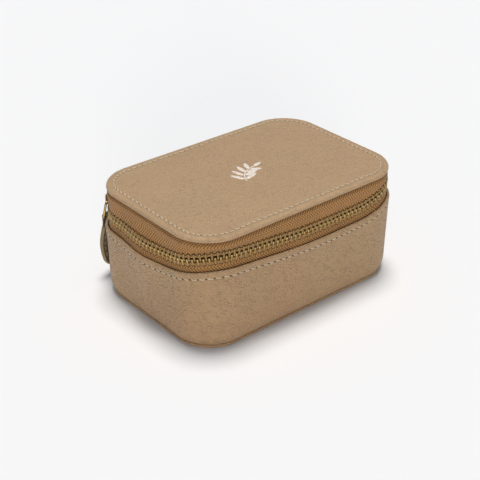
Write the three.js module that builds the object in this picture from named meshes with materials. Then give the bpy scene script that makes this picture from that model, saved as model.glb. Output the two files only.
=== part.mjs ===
// A zip-around leather travel jewellery case: a rounded box in two halves, a lid and a base, closed by a metal
// zip that runs round three and a half sides and hinged by a leather spine at the back.
//
// Millimetres, +Z up. The origin is the middle of the base's underside. +X runs along the case, the front faces
// -Y and the spine +Y. Every wall follows one plan outline, a rounded rectangle, and is described by its section:
// pairs of an outward offset from that outline and a height.

import * as THREE from "three";

// ---------------------------------------------------------------- driving dimensions

const LENGTH = 115; // the plan outline, which is the lid's rim
const DEPTH = 78;
const CORNER_R = 18;
const GAP = 0.3; // between pieces that touch

const LEATHER = 1.2;
const BOARD = 1.5; // greyboard stiffener
const LINING = 0.8; // microfibre suede on paper
const TAPE = 0.7; // woven zip tape
const SPINE = 1.0; // the leather hinge strip

const LID_TOP = 52.3; // the lid panel's upper face along its seam
const LID_CROWN = 0.5; // how much higher the padded middle stands
const LID_RIM = 50.4; // the lid panel's lower edge
const LID_LEATHER = 0.9;
const LID_BOARD = 1.0;
const LID_LINING = 1.5; // suede on its own card

const BOTTOM_PANEL = 1.4;
const BOTTOM_OUT = 0.5; // the bottom panel's turned edge stands this far out
const WALL_FOOT_OUT = 0.3;
const WALL_HEAD_OUT = 1.3; // the base's wall leans out to this at its top edge
const BULGE_LONG = 1.0; // how much further the long walls' soft top edge bellies out at mid-side
const BULGE_SHORT = 2.0;
const EDGE_DROP = 5.2; // from the zip's centre line down to that edge

// The zip: a number 5 metal chain.
const CHAIN_HALF = 2.9; // from the centre line to the back of a tooth
const TOOTH_REACH = 0.75; // how far a tooth passes the centre line
const TOOTH_THICK = 2.2;
const TOOTH_TIP = 0.7;
const TOOTH_ROOT = 1.1;
const TOOTH_PITCH = 2.4;
const BEAD = 1.0; // the corded edge that the teeth grip
const CHAIN_INSET = -1.0; // the chain's middle, from the plan outline
const TAPE_SEWN = 11.5; // from the centre line to the tape's selvedge
const TAPE_TURN_IN = 6; // how far the upper tape runs in under the lid's board

const HINGE_Z = 40; // the line across the back that the spine bends along

const BOARD_OUT = -2.0; // the wall board's outer face, inside the tape
const WALL_BOARD_TOP = 32.5;
const WALL_LINING_TOP = 33.6;
const FLOOR_LINING = 1.2;

// Angles round the back-left corner, in degrees from +X, in the order that the zip's pieces follow there.
const SPINE_END = 91;
const TOP_STOP = [92.5, 95.5];
const LOWER_TEETH_START = 98;
const SLIDER_AT = 112;
const SLIDER_HALF = 15;
const SLIDER_TRAVEL = 30; // how far the slider can move on round the corner
const UPPER_ROW_START = SLIDER_AT + SLIDER_HALF + SLIDER_TRAVEL + 1; // clear of the slider, so that the lid lifts
const SHORT_TEETH_END = SLIDER_AT + SLIDER_TRAVEL - 2; // as far as the slider's post travels between the rows

const CORNER_STEPS = 8;
const WALL_STEP = 9;

// ---------------------------------------------------------------- the plan outline

const STRAIGHT_X = LENGTH - 2 * CORNER_R;
const STRAIGHT_Y = DEPTH - 2 * CORNER_R;
const ARC = (Math.PI / 2) * CORNER_R;

// The outline's stretches, counter-clockwise from the middle of the back: straights and quarter turns.
const STRETCHES = [
  { name: "back_to_left", length: STRAIGHT_X / 2 },
  { name: "back_left", length: ARC, centre: [-1, 1] },
  { name: "left", length: STRAIGHT_Y },
  { name: "front_left", length: ARC, centre: [-1, -1] },
  { name: "front", length: STRAIGHT_X },
  { name: "front_right", length: ARC, centre: [1, -1] },
  { name: "right", length: STRAIGHT_Y },
  { name: "back_right", length: ARC, centre: [1, 1] },
  { name: "back_to_right", length: STRAIGHT_X / 2 },
];
{
  let start = 0;
  for (const stretch of STRETCHES) {
    stretch.start = start;
    start += stretch.length;
  }
}
const AROUND = STRETCHES.at(-1).start + STRETCHES.at(-1).length;

// The same distance, brought into one lap.
const wrapped = (distance) => ((distance % AROUND) + AROUND) % AROUND;

// Distance round the outline of a point part-way (0 to 1) along a named stretch.
const along = (name, share) => {
  const stretch = STRETCHES.find((s) => s.name === name);
  return stretch.start + share * stretch.length;
};

// The outline's point and outward normal at a distance round it.
function outline(distance) {
  const d = wrapped(distance);
  const stretch = STRETCHES.findLast((s) => s.start <= d);
  const u = d - stretch.start;
  const hx = STRAIGHT_X / 2;
  const hy = STRAIGHT_Y / 2;
  if (stretch.centre) {
    const [sx, sy] = stretch.centre;
    const first = { back_left: 90, front_left: 180, front_right: 270, back_right: 0 }[stretch.name];
    const a = THREE.MathUtils.degToRad(first) + u / CORNER_R;
    const n = [Math.cos(a), Math.sin(a)];
    return { x: sx * hx + CORNER_R * n[0], y: sy * hy + CORNER_R * n[1], n };
  }
  if (stretch.name === "back_to_left") return { x: -u, y: DEPTH / 2, n: [0, 1] };
  if (stretch.name === "left") return { x: -LENGTH / 2, y: hy - u, n: [-1, 0] };
  if (stretch.name === "front") return { x: -hx + u, y: -DEPTH / 2, n: [0, -1] };
  if (stretch.name === "right") return { x: LENGTH / 2, y: -hy + u, n: [1, 0] };
  return { x: hx - u, y: DEPTH / 2, n: [0, 1] };
}

// A point of the back-left corner at an angle from +X, and its mirror image at the back-right corner.
const backLeft = (degrees) => along("back_left", (degrees - 90) / 90);
const backRight = (degrees) => AROUND - backLeft(degrees);

// Height of the zip's centre line: it is level across the back and round the back-left corner, climbs over the
// front corners and sags along the sides between them.
const ZIP_LINE = [
  [0, 40.0],
  [along("back_to_left", 0.6), 39.6],
  [along("back_left", 0), 38.6],
  [along("left", 0.5), 38.6],
  [along("left", 0.85), 39.2],
  [along("front_left", 0.75), 43.4],
  [along("front", 0.12), 42.2],
  [along("front", 0.5), 40.3],
  [along("front", 0.88), 39.8],
  [along("front_right", 0.5), 43.6],
  [along("right", 0.5), 40.2],
  [along("back_right", 0.5), 40.0],
  [AROUND, 40.0],
];

// The slope at a knot that keeps the curve from overshooting: level at the ends, at a peak and at a dip.
function knotSlope(i) {
  if (i === 0 || i === ZIP_LINE.length - 1) return 0;
  const [[d0, z0], [d1, z1], [d2, z2]] = ZIP_LINE.slice(i - 1, i + 2);
  const before = (z1 - z0) / (d1 - d0);
  const after = (z2 - z1) / (d2 - d1);
  return before * after <= 0 ? 0 : (2 * before * after) / (before + after);
}

function zipLine(distance) {
  const d = wrapped(distance);
  const i = ZIP_LINE.findIndex(([at]) => at > d);
  const [[d0, z0], [d1, z1]] = [ZIP_LINE[i - 1], ZIP_LINE[i]];
  const span = d1 - d0;
  const t = (d - d0) / span;
  const fromStart = z0 * (2 * t ** 3 - 3 * t ** 2 + 1) + knotSlope(i - 1) * span * (t ** 3 - 2 * t ** 2 + t);
  const fromEnd = z1 * (3 * t ** 2 - 2 * t ** 3) + knotSlope(i) * span * (t ** 3 - t ** 2);
  return fromStart + fromEnd;
}

// How far the soft top edge bellies out: nothing at the corners, most at mid-side.
function bulge(distance) {
  const d = wrapped(distance);
  const stretch = STRETCHES.findLast((s) => s.start <= d);
  if (stretch.centre) return 0;
  const half = stretch.name.startsWith("back");
  const t = (d - stretch.start) / stretch.length;
  const middle = stretch.name === "back_to_left" ? 0.5 + t / 2 : half ? t / 2 : t;
  const most = stretch.name === "left" || stretch.name === "right" ? BULGE_SHORT : BULGE_LONG;
  return (half ? 0.3 : 1) * most * Math.sin(Math.PI * middle) ** 2;
}

const chainOut = (d) => CHAIN_INSET + 0.8 * bulge(d);
const headOut = (d) => WALL_HEAD_OUT + bulge(d);
const edgeHeight = (d) => zipLine(d) - EDGE_DROP;

// Distances round the outline for a band: its ends, every stretch's ends, and even steps between them.
function stops(from, to, straightStep) {
  const found = [];
  for (let lap = -1; lap <= 1; lap++) {
    for (const { start, length, centre } of STRETCHES) {
      const steps = centre ? CORNER_STEPS : Math.max(1, Math.round(length / straightStep));
      for (let k = 0; k < steps; k++) found.push(lap * AROUND + start + (length * k) / steps);
    }
  }
  const inner = found.filter((d) => d > from + 0.4 && d < to - 0.4);
  return [from, ...inner, to];
}

// ---------------------------------------------------------------- mesh making

// A closed mesh from rings of points: neighbours are joined, and an open run is capped at both ends.
function loft(rings, closed, capTriangles) {
  const points = rings.flat();
  const n = rings[0].length;
  const index = [];
  const last = closed ? rings.length : rings.length - 1;
  for (let i = 0; i < last; i++) {
    const a = i * n;
    const b = ((i + 1) % rings.length) * n;
    for (let k = 0; k < n; k++) {
      const m = (k + 1) % n;
      index.push(a + k, b + k, b + m, a + k, b + m, a + m);
    }
  }
  if (!closed) {
    const end = (rings.length - 1) * n;
    for (const [p, q, r] of capTriangles(0)) index.push(p, q, r);
    for (const [p, q, r] of capTriangles(1)) index.push(end + p, end + r, end + q);
  }
  const geometry = new THREE.BufferGeometry();
  geometry.setAttribute("position", new THREE.Float32BufferAttribute(points.flat(), 3));
  geometry.setIndex(index);
  return facingOut(geometry);
}

// The same geometry with its faces turned to point outwards.
function facingOut(geometry) {
  const p = geometry.getAttribute("position");
  const index = geometry.index.array;
  let volume = 0;
  const [a, b, c] = [new THREE.Vector3(), new THREE.Vector3(), new THREE.Vector3()];
  for (let i = 0; i < index.length; i += 3) {
    a.fromBufferAttribute(p, index[i]);
    b.fromBufferAttribute(p, index[i + 1]);
    c.fromBufferAttribute(p, index[i + 2]);
    volume += a.dot(b.cross(c));
  }
  if (volume < 0) {
    const turned = Array.from(index);
    for (let i = 0; i < turned.length; i += 3) [turned[i + 1], turned[i + 2]] = [turned[i + 2], turned[i + 1]];
    geometry.setIndex(turned);
  }
  return geometry;
}

// The same triangles, each turned the way that the polygon's corners run.
function turnedLike(polygon, triangles) {
  const turn = Math.sign(THREE.ShapeUtils.area(polygon));
  return triangles.map(([p, q, r]) => {
    const same = Math.sign(THREE.ShapeUtils.area([polygon[p], polygon[q], polygon[r]])) === turn;
    return same ? [p, q, r] : [p, r, q];
  });
}

// A wall that follows the outline. section(distance) gives its [offset, height] corners, always as many. It runs
// all the way round, or between from and to, or through the distances in at.
function band(section, { from = 0, to = null, step = 100, at = null } = {}) {
  const closed = to === null && at === null;
  const distances = at ?? (closed ? stops(0, AROUND, step).slice(0, -1) : stops(from, to, step));
  const rings = distances.map((d) => {
    const { x, y, n } = outline(d);
    return section(d).map(([out, z]) => [x + n[0] * out, y + n[1] * out, z]);
  });
  const cap = (whichEnd) => {
    const flat = section(distances.at(whichEnd ? -1 : 0)).map(([out, z]) => new THREE.Vector2(out, z));
    return turnedLike(flat, THREE.ShapeUtils.triangulateShape(flat, []));
  };
  return loft(rings, closed, cap);
}

// A plate with the plan outline. profile runs from the middle of one face to the middle of the other; the
// first and last entries give the height of those middles, and the rest are [offset, height] loops.
function plate(topMiddle, loops, bottomMiddle) {
  const distances = stops(0, AROUND, 100).slice(0, -1);
  const n = distances.length;
  const points = [[0, 0, topMiddle]];
  for (const [out, z] of loops) {
    for (const d of distances) {
      const { x, y, n: normal } = outline(d);
      points.push([x + normal[0] * out, y + normal[1] * out, z]);
    }
  }
  points.push([0, 0, bottomMiddle]);
  const index = [];
  const base = (loop) => 1 + loop * n;
  for (let k = 0; k < n; k++) {
    const m = (k + 1) % n;
    index.push(0, base(0) + k, base(0) + m);
    for (let j = 0; j + 1 < loops.length; j++) {
      const [a, b] = [base(j), base(j + 1)];
      index.push(a + k, b + k, b + m, a + k, b + m, a + m);
    }
    index.push(points.length - 1, base(loops.length - 1) + m, base(loops.length - 1) + k);
  }
  const geometry = new THREE.BufferGeometry();
  geometry.setAttribute("position", new THREE.Float32BufferAttribute(points.flat(), 3));
  geometry.setIndex(index);
  return facingOut(geometry);
}

const slab = (out, low, high) => plate(high, [[out, high], [out, low]], low);

const box = (x0, x1, y0, y1, z0, z1) =>
  new THREE.BoxGeometry(x1 - x0, y1 - y0, z1 - z0).translate((x0 + x1) / 2, (y0 + y1) / 2, (z0 + z1) / 2);

// A flat outline of [x, y] corners, each rounded, drawn out by a thickness along +Z.
function roundedPrism(corners, radius, thickness, segments = 4) {
  const shape = new THREE.Shape();
  const points = corners.map(([x, y]) => new THREE.Vector2(x, y));
  points.forEach((corner, i) => {
    const before = points.at(i - 1);
    const after = points[(i + 1) % points.length];
    const enter = corner.clone().add(before.clone().sub(corner).setLength(radius));
    const leave = corner.clone().add(after.clone().sub(corner).setLength(radius));
    if (i === 0) shape.moveTo(enter.x, enter.y);
    else shape.lineTo(enter.x, enter.y);
    shape.quadraticCurveTo(corner.x, corner.y, leave.x, leave.y);
  });
  shape.closePath();
  return new THREE.ExtrudeGeometry(shape, { depth: thickness, bevelEnabled: false, curveSegments: segments });
}

// ---------------------------------------------------------------- materials

const finish = (color, roughness, metalness = 0) =>
  new THREE.MeshStandardMaterial({ color, roughness, metalness });
const leather = finish(0xa88b6c, 0.55);
const suede = finish(0xcbb79c, 0.95);
const greyboard = finish(0x9a948a, 0.9);
const foam = finish(0xe6e0d2, 0.95);
const tape = finish(0xa9773f, 0.85);
const brass = finish(0x8f7440, 0.35, 1);
const elastic = finish(0xb79f83, 0.9);

const group = new THREE.Group();
function piece(name, geometry, material) {
  const mesh = new THREE.Mesh(geometry, material);
  mesh.name = name;
  group.add(mesh);
  return mesh;
}

// ---------------------------------------------------------------- base

const WALL_FOOT = BOTTOM_PANEL + GAP;
const FLOOR_TOP = WALL_FOOT + BOARD;
const TRAY_FOOT = FLOOR_TOP + GAP;
const TRAY_FLOOR = TRAY_FOOT + FLOOR_LINING;
const LINING_OUT = BOARD_OUT - BOARD - GAP;
const CAVITY_OUT = LINING_OUT - LINING;
const CAVITY_HALF_X = LENGTH / 2 + CAVITY_OUT;
const CAVITY_HALF_Y = DEPTH / 2 + CAVITY_OUT;

function bottomPanel() {
  const edge = 0.4;
  const rounded = [
    [BOTTOM_OUT - edge, BOTTOM_PANEL],
    [BOTTOM_OUT, BOTTOM_PANEL - edge],
    [BOTTOM_OUT, edge],
    [BOTTOM_OUT - edge, 0],
  ];
  return plate(BOTTOM_PANEL, rounded, 0);
}

// The middle of the wall, where its outer face stands a little fuller than a straight line would.
const waistOut = (d) => (WALL_FOOT_OUT + headOut(d)) / 2 + 0.2;
const waistHeight = (d) => (WALL_FOOT + edgeHeight(d)) / 2;

// The outer band of leather, its top edge rounded and cut to follow the zip.
function baseWallLeather() {
  const round = 0.35;
  return band(
    (d) => {
      const top = edgeHeight(d);
      const head = headOut(d);
      return [
        [WALL_FOOT_OUT, WALL_FOOT],
        [waistOut(d), waistHeight(d)],
        [head, top - round],
        [head - round, top],
        [head - LEATHER + round, top],
        [head - LEATHER, top - round],
        [waistOut(d) - LEATHER, waistHeight(d)],
        [WALL_FOOT_OUT - LEATHER, WALL_FOOT],
      ];
    },
    { step: WALL_STEP },
  );
}

// The padding between the leather and the wall board, below the zip tape.
function baseWallFoam() {
  const inner = BOARD_OUT + GAP;
  return band(
    (d) => [
      [WALL_FOOT_OUT - LEATHER - GAP, WALL_FOOT],
      [waistOut(d) - LEATHER - GAP, waistHeight(d)],
      [waistOut(d) - LEATHER - GAP, zipLine(d) - TAPE_SEWN - 1],
      [inner, zipLine(d) - TAPE_SEWN - 1],
      [inner, WALL_FOOT],
    ],
    { step: WALL_STEP },
  );
}

function baseWallBoard() {
  const rectangle = [
    [BOARD_OUT, FLOOR_TOP + GAP],
    [BOARD_OUT, WALL_BOARD_TOP],
    [BOARD_OUT - BOARD, WALL_BOARD_TOP],
    [BOARD_OUT - BOARD, FLOOR_TOP + GAP],
  ];
  return band(() => rectangle);
}

// The wall lining, its top edge turned over the board as a rolled lip.
function baseWallLining() {
  const round = 0.3;
  const section = [
    [LINING_OUT, TRAY_FOOT],
    [LINING_OUT, WALL_BOARD_TOP + GAP],
    [BOARD_OUT, WALL_BOARD_TOP + GAP],
    [BOARD_OUT - round, WALL_LINING_TOP],
    [CAVITY_OUT + round, WALL_LINING_TOP],
    [CAVITY_OUT, WALL_LINING_TOP - round],
    [CAVITY_OUT, TRAY_FOOT],
  ];
  return band(() => section);
}

piece("base_bottom_leather", bottomPanel(), leather);
piece("base_floor_board", slab(BOARD_OUT, WALL_FOOT, FLOOR_TOP), greyboard);
piece("base_wall_leather", baseWallLeather(), leather);
piece("base_wall_foam", baseWallFoam(), foam);
piece("base_wall_board", baseWallBoard(), greyboard);
piece("base_wall_lining", baseWallLining(), suede);
piece("base_floor_lining", slab(CAVITY_OUT - GAP, TRAY_FOOT, TRAY_FLOOR), suede);

// ---------------------------------------------------------------- inside the base

const ROLLS = 7;
const ROLL_PITCH = 9.4;
const ROLL_RADIUS = (ROLL_PITCH - 0.5) / 2;
const ROLL_TALL = 15;
const ROLL_FROM = -CAVITY_HALF_X + 1.5;
const ROLL_TO = -20;
const END_ROLL_SHORTER = 6; // the outermost rolls lie beside the rounded corners of the tray
const DIVIDER = 2.2;
const DIVIDER_FOOT = TRAY_FLOOR + GAP;
const DIVIDER_TOP = 30;
const BANK_X = ROLL_TO + 0.8; // the divider beside the rolls
const CROSS_Y = 5; // the lengthwise divider, a little behind the middle
const SHORT_X = 20; // the divider across the back row

// A suede-covered foam roll: flat sides and a round top, lying along X.
function ringRoll(index) {
  const shape = new THREE.Shape();
  shape.moveTo(-ROLL_RADIUS, 0);
  shape.lineTo(ROLL_RADIUS, 0);
  shape.lineTo(ROLL_RADIUS, ROLL_TALL - ROLL_RADIUS);
  shape.absarc(0, ROLL_TALL - ROLL_RADIUS, ROLL_RADIUS, 0, Math.PI, false);
  shape.closePath();
  const from = ROLL_FROM + (index % (ROLLS - 1) === 0 ? END_ROLL_SHORTER : 0);
  const depth = ROLL_TO - from;
  const roll = new THREE.ExtrudeGeometry(shape, { depth, bevelEnabled: false, curveSegments: 10 });
  const y = (index - (ROLLS - 1) / 2) * ROLL_PITCH;
  return roll.rotateX(Math.PI / 2).rotateZ(Math.PI / 2).translate(from, y, DIVIDER_FOOT);
}

// A suede-covered board, standing on the tray's floor.
const divider = (x0, x1, y0, y1) => box(x0, x1, y0, y1, DIVIDER_FOOT, DIVIDER_TOP);

for (let i = 0; i < ROLLS; i++) piece(`ring_roll_${i + 1}`, ringRoll(i), suede);
{
  const endX = CAVITY_HALF_X - GAP;
  const endY = CAVITY_HALF_Y - GAP;
  const behind = CROSS_Y + DIVIDER + GAP;
  piece("ring_bank_divider", divider(BANK_X, BANK_X + DIVIDER, -endY, endY), suede);
  piece("long_divider", divider(BANK_X + DIVIDER + GAP, endX, CROSS_Y, CROSS_Y + DIVIDER), suede);
  piece("short_divider", divider(SHORT_X, SHORT_X + DIVIDER, behind, endY), suede);
}

// ---------------------------------------------------------------- zip

const TAPE_EDGE = CHAIN_HALF + GAP; // from the centre line to the tape's edge, behind the teeth
const UPPER_ROOF = LID_RIM - 0.7; // the upper tape's turned-in flange, under the lid's board

const BEND_DROP = EDGE_DROP + 0.4; // from the centre line to where the lower strips bend in behind the leather

// A strip of some thickness that is sewn inside the base's wall and climbs to an edge above it.
function insideWall(d, thick, edgeOut, edgeZ) {
  const z = zipLine(d);
  const bendOut = headOut(d) - LEATHER - GAP;
  const sewnOut = BOARD_OUT + GAP;
  return [
    [edgeOut - thick / 2, edgeZ],
    [bendOut - thick, z - BEND_DROP],
    [sewnOut, z - TAPE_SEWN],
    [sewnOut + thick, z - TAPE_SEWN],
    [bendOut, z - BEND_DROP],
    [edgeOut + thick / 2, edgeZ],
  ];
}

const lowerTape = (d) => insideWall(d, TAPE, chainOut(d), zipLine(d) - TAPE_EDGE);

const BELLY_OUT = -0.2;
const BELLY_DROP = 1.8;
const FOLD_OUT = BELLY_OUT - 0.3;

// A strip that hangs from the lid: it is turned in under the board, and its fold bellies out below the rim.
function underLid(thick, edgeOut, edgeZ) {
  return [
    [edgeOut + thick / 2, edgeZ],
    [BELLY_OUT, UPPER_ROOF - BELLY_DROP],
    [FOLD_OUT, UPPER_ROOF],
    [-TAPE_TURN_IN, UPPER_ROOF],
    [-TAPE_TURN_IN, UPPER_ROOF - TAPE],
    [FOLD_OUT - thick, UPPER_ROOF - TAPE],
    [BELLY_OUT - thick, UPPER_ROOF - BELLY_DROP],
    [edgeOut - thick / 2, edgeZ],
  ];
}

const upperTape = (d) => underLid(TAPE, chainOut(d), zipLine(d) + TAPE_EDGE);

const POST_HALF = 0.5; // the slider's post, which runs between the rows
const POST_GAP = POST_HALF + GAP;

// The teeth of one side (+1 is the lid's), joined by the corded edge that they grip. Where the slider's post
// passes between the rows, they stop short of the centre line.
function teeth(side, from, to) {
  const phase = side > 0 ? 0.5 : 0;
  const first = Math.ceil((from + TOOTH_ROOT) / TOOTH_PITCH);
  const last = Math.floor((to - TOOTH_ROOT) / TOOTH_PITCH) - 1;
  const rings = [];
  const ring = (d, near) => {
    const { x, y, n } = outline(d);
    const out = chainOut(d);
    const z = zipLine(d);
    const half = TOOTH_THICK / 2;
    const corners = [
      [out - half, near],
      [out + half, near],
      [out + half, side * CHAIN_HALF],
      [out - half, side * CHAIN_HALF],
    ];
    rings.push(corners.map(([o, h]) => [x + n[0] * o, y + n[1] * o, z + h]));
  };
  const valley = side * (CHAIN_HALF - BEAD);
  ring(from, valley);
  for (let i = first; i <= last; i++) {
    const middle = (i + phase) * TOOTH_PITCH;
    const reach = middle < backLeft(SHORT_TEETH_END) ? -POST_GAP : TOOTH_REACH;
    ring(middle - TOOTH_ROOT / 2, valley);
    ring(middle - TOOTH_TIP / 2, -side * reach);
    ring(middle + TOOTH_TIP / 2, -side * reach);
    ring(middle + TOOTH_ROOT / 2, valley);
  }
  ring(to, valley);
  return loft(rings, false, () => [[0, 1, 2], [0, 2, 3]]);
}

// A small metal block crimped on at the end of a row.
function stop(from, to, low, high) {
  const block = (d) => {
    const out = chainOut(d);
    const z = zipLine(d);
    const half = TOOTH_THICK / 2;
    return [[out - half, z + low], [out + half, z + low], [out + half, z + high], [out - half, z + high]];
  };
  return band(block, { from, to });
}

const LOWER_START = backLeft(SPINE_END) + GAP;
const UPPER_START = backLeft(UPPER_ROW_START);
const TAPES_END = backRight(SPINE_END) - GAP;
const BOTTOM_STOP = [backRight(TOP_STOP[1]), backRight(TOP_STOP[0])];
const TEETH_END = BOTTOM_STOP[0] - GAP;
const tapeBand = (section, from) => band(section, { from, to: TAPES_END, step: WALL_STEP });

piece("lower_zip_tape", tapeBand(lowerTape, LOWER_START), tape);
piece("lower_zip_teeth", teeth(-1, backLeft(LOWER_TEETH_START), TEETH_END), brass);
piece("zip_top_stop", stop(backLeft(TOP_STOP[0]), backLeft(TOP_STOP[1]), -CHAIN_HALF, -POST_GAP), brass);
piece("zip_bottom_stop", stop(...BOTTOM_STOP, -CHAIN_HALF, CHAIN_HALF - BEAD), brass);
piece("upper_zip_tape", tapeBand(upperTape, UPPER_START), tape);
piece("upper_zip_teeth", teeth(1, UPPER_START, TEETH_END), brass);

// ---------------------------------------------------------------- spine

// The leather hinge strip, cut along the hinge line into the half that the base holds and the half that the lid
// holds. It runs round into both back corners, over the ends of the tapes.
const lowerSpine = (d) => insideWall(d, SPINE, CHAIN_INSET, HINGE_Z - GAP / 2);
const upperSpine = () => underLid(SPINE, CHAIN_INSET, HINGE_Z + GAP / 2);
const SPINE_SPAN = { from: backRight(SPINE_END), to: AROUND + backLeft(SPINE_END), step: WALL_STEP };

piece("lower_spine", band(lowerSpine, SPINE_SPAN), leather);
piece("upper_spine", band(upperSpine, SPINE_SPAN), leather);

// ---------------------------------------------------------------- lid

// The leather panel: domed over its padding, its edge rolled down round the board.
function lidLeather() {
  const flat = -16; // the dome levels off this far in from the edge
  const crown = LID_TOP + LID_CROWN;
  const under = LID_RIM + LID_BOARD + GAP;
  const rounds = [
    [flat, crown],
    [-3.6, LID_TOP],
    [-1.5, LID_TOP - 0.3],
    [-0.5, LID_TOP - 0.8],
    [0, LID_TOP - 1.4],
    [-0.2, LID_RIM],
    [-LID_LEATHER, LID_RIM],
    [-LID_LEATHER - 0.5, under - 0.5],
    [flat, crown - LID_LEATHER],
  ];
  return plate(crown, rounds, crown - LID_LEATHER);
}

const LID_BOARD_Z = UPPER_ROOF + GAP;
const LID_LINING_TOP = UPPER_ROOF - TAPE - GAP;
const LID_LINING_UNDER = LID_LINING_TOP - LID_LINING;

piece("lid_leather", lidLeather(), leather);
piece("lid_board", slab(-LID_LEATHER - 0.9, LID_BOARD_Z, LID_BOARD_Z + LID_BOARD), greyboard);
piece("lid_lining", slab(-2.4, LID_LINING_UNDER, LID_LINING_TOP), suede);

// A gathered pocket that opens towards the front, with elastic along its mouth.
const POCKET = 0.9;
const POCKET_TOP = LID_LINING_UNDER - GAP;
const POCKET_HALF_X = 46;
const POCKET_BACK = 32;
const POCKET_MOUTH = -9;
const ELASTIC_WIDE = 3;
{
  const [x, back, mouth] = [POCKET_HALF_X, POCKET_BACK, POCKET_MOUTH];
  const panel = roundedPrism([[-x, mouth], [x, mouth], [x, back], [-x, back]], 9, POCKET);
  piece("lid_pocket", panel.translate(0, 0, POCKET_TOP - POCKET), suede);
  const mouthFront = mouth - GAP - ELASTIC_WIDE;
  piece("pocket_elastic", box(-x, x, mouthFront, mouth - GAP, POCKET_TOP - POCKET, POCKET_TOP), elastic);
}

// ---------------------------------------------------------------- slider and pull

const BODY_GAP = TOOTH_THICK / 2 + GAP; // from the chain's middle to a plate's face
const PLATE = 1.0;
const PLATE_BEVEL = 0.4;
const FLANGE_FROM = CHAIN_HALF + GAP;
const SLIDER_NARROW = FLANGE_FROM + 0.7; // half-width where the joined chain leaves
const SLIDER_WIDE = FLANGE_FROM + 1.0; // half-width where the rows part
const SLIDER_START = backLeft(SLIDER_AT - SLIDER_HALF);
const SLIDER_END = backLeft(SLIDER_AT + SLIDER_HALF);
const SLIDER_STEPS = 6;

// Evenly spaced distances, both ends included.
const evenly = (from, to, steps) =>
  Array.from({ length: steps + 1 }, (_, k) => from + ((to - from) * k) / steps);

// One of the slider's two plates, with its edges turned in over the backs of the teeth but clear of the tape.
// side is +1 for the outer plate and -1 for the inner one.
function sliderPlate(side) {
  const flangeEnd = side > 0 ? 1.0 : 0.65; // how near the flanges come to the chain's middle
  const section = (d) => {
    const z = zipLine(d);
    const share = (d - SLIDER_START) / (SLIDER_END - SLIDER_START);
    const half = SLIDER_WIDE + (SLIDER_NARROW - SLIDER_WIDE) * share;
    const profile = [
      [BODY_GAP + PLATE, half - PLATE_BEVEL],
      [BODY_GAP + PLATE - PLATE_BEVEL, half],
      [flangeEnd, half],
      [flangeEnd, FLANGE_FROM],
      [BODY_GAP, FLANGE_FROM],
    ];
    const lower = profile.map(([reach, h]) => [CHAIN_INSET + side * reach, z - h]);
    const upper = profile.map(([reach, h]) => [CHAIN_INSET + side * reach, z + h]);
    return [...lower, ...upper.reverse()];
  };
  return band(section, { at: evenly(SLIDER_START, SLIDER_END, SLIDER_STEPS) });
}

// The wedge between the plates that parts the two rows, at the slider's leading end.
const POST_FROM = backLeft(SLIDER_AT - 12);
const POST_TO = backLeft(SLIDER_AT - 4);

function sliderPost() {
  const reach = BODY_GAP - GAP;
  const section = (d) => {
    const z = zipLine(d);
    const half = d === POST_TO ? POST_HALF / 2 : POST_HALF;
    return [
      [CHAIN_INSET - reach, z - half],
      [CHAIN_INSET + reach, z - half],
      [CHAIN_INSET + reach, z + half],
      [CHAIN_INSET - reach, z + half],
    ];
  };
  return band(section, { at: evenly(POST_FROM, POST_TO, 2) });
}

piece("slider_outer_plate", sliderPlate(1), brass);
piece("slider_inner_plate", sliderPlate(-1), brass);
piece("slider_post", sliderPost(), brass);

// The bail and the pull are drawn flat, with x outwards from the plan outline, y along the chain and z up from
// the zip's centre line, then turned to stand at the slider.
function atSlider(geometry) {
  const angle = THREE.MathUtils.degToRad(SLIDER_AT);
  const centre = [-STRAIGHT_X / 2, STRAIGHT_Y / 2];
  return geometry
    .translate(CORNER_R, 0, zipLine(backLeft(SLIDER_AT)))
    .rotateZ(angle)
    .translate(centre[0], centre[1], 0);
}

const FACE = CHAIN_INSET + BODY_GAP + PLATE; // the outer plate's face
const WIRE = 1.1;
const PULL_X = 3.3; // the plane that the pull hangs in
const RING_HALF_Y = 4.8;
const RING_TOP = -1.0; // the middle of the ring's upper bar
const RING_DROP = 6.6; // down to the middle of its lower bar
const STRAP = 0.9;
const STRAP_HALF_Y = 3.9;
const TAB_FOOT = -33.5;

// A shape in the x-z plane drawn out along y, with y from -half to +half.
function alongChain(shape, half) {
  const solid = new THREE.ExtrudeGeometry(shape, { depth: 2 * half, bevelEnabled: false, curveSegments: 6 });
  return solid.translate(0, 0, -half).rotateX(Math.PI / 2);
}

const path = (Kind, corners) => {
  const drawn = new Kind();
  corners.forEach(([x, z], i) => (i === 0 ? drawn.moveTo(x, z) : drawn.lineTo(x, z)));
  drawn.closePath();
  return drawn;
};

// A small arch that stands on the outer plate and holds the pull's ring.
function sliderBail() {
  const inside = PULL_X + WIRE / 2 + GAP;
  const outside = inside + 0.9;
  const foot = FACE + GAP;
  const halfIn = 1.9;
  const halfOut = 2.8;
  const bend = 1.0;
  const arch = path(THREE.Shape, [
    [foot, -halfOut],
    [outside - bend, -halfOut],
    [outside, -halfOut + bend],
    [outside, halfOut - bend],
    [outside - bend, halfOut],
    [foot, halfOut],
    [foot, halfIn],
    [inside, halfIn],
    [inside, -halfIn],
    [foot, -halfIn],
  ]);
  return alongChain(arch, 0.9);
}

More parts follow.
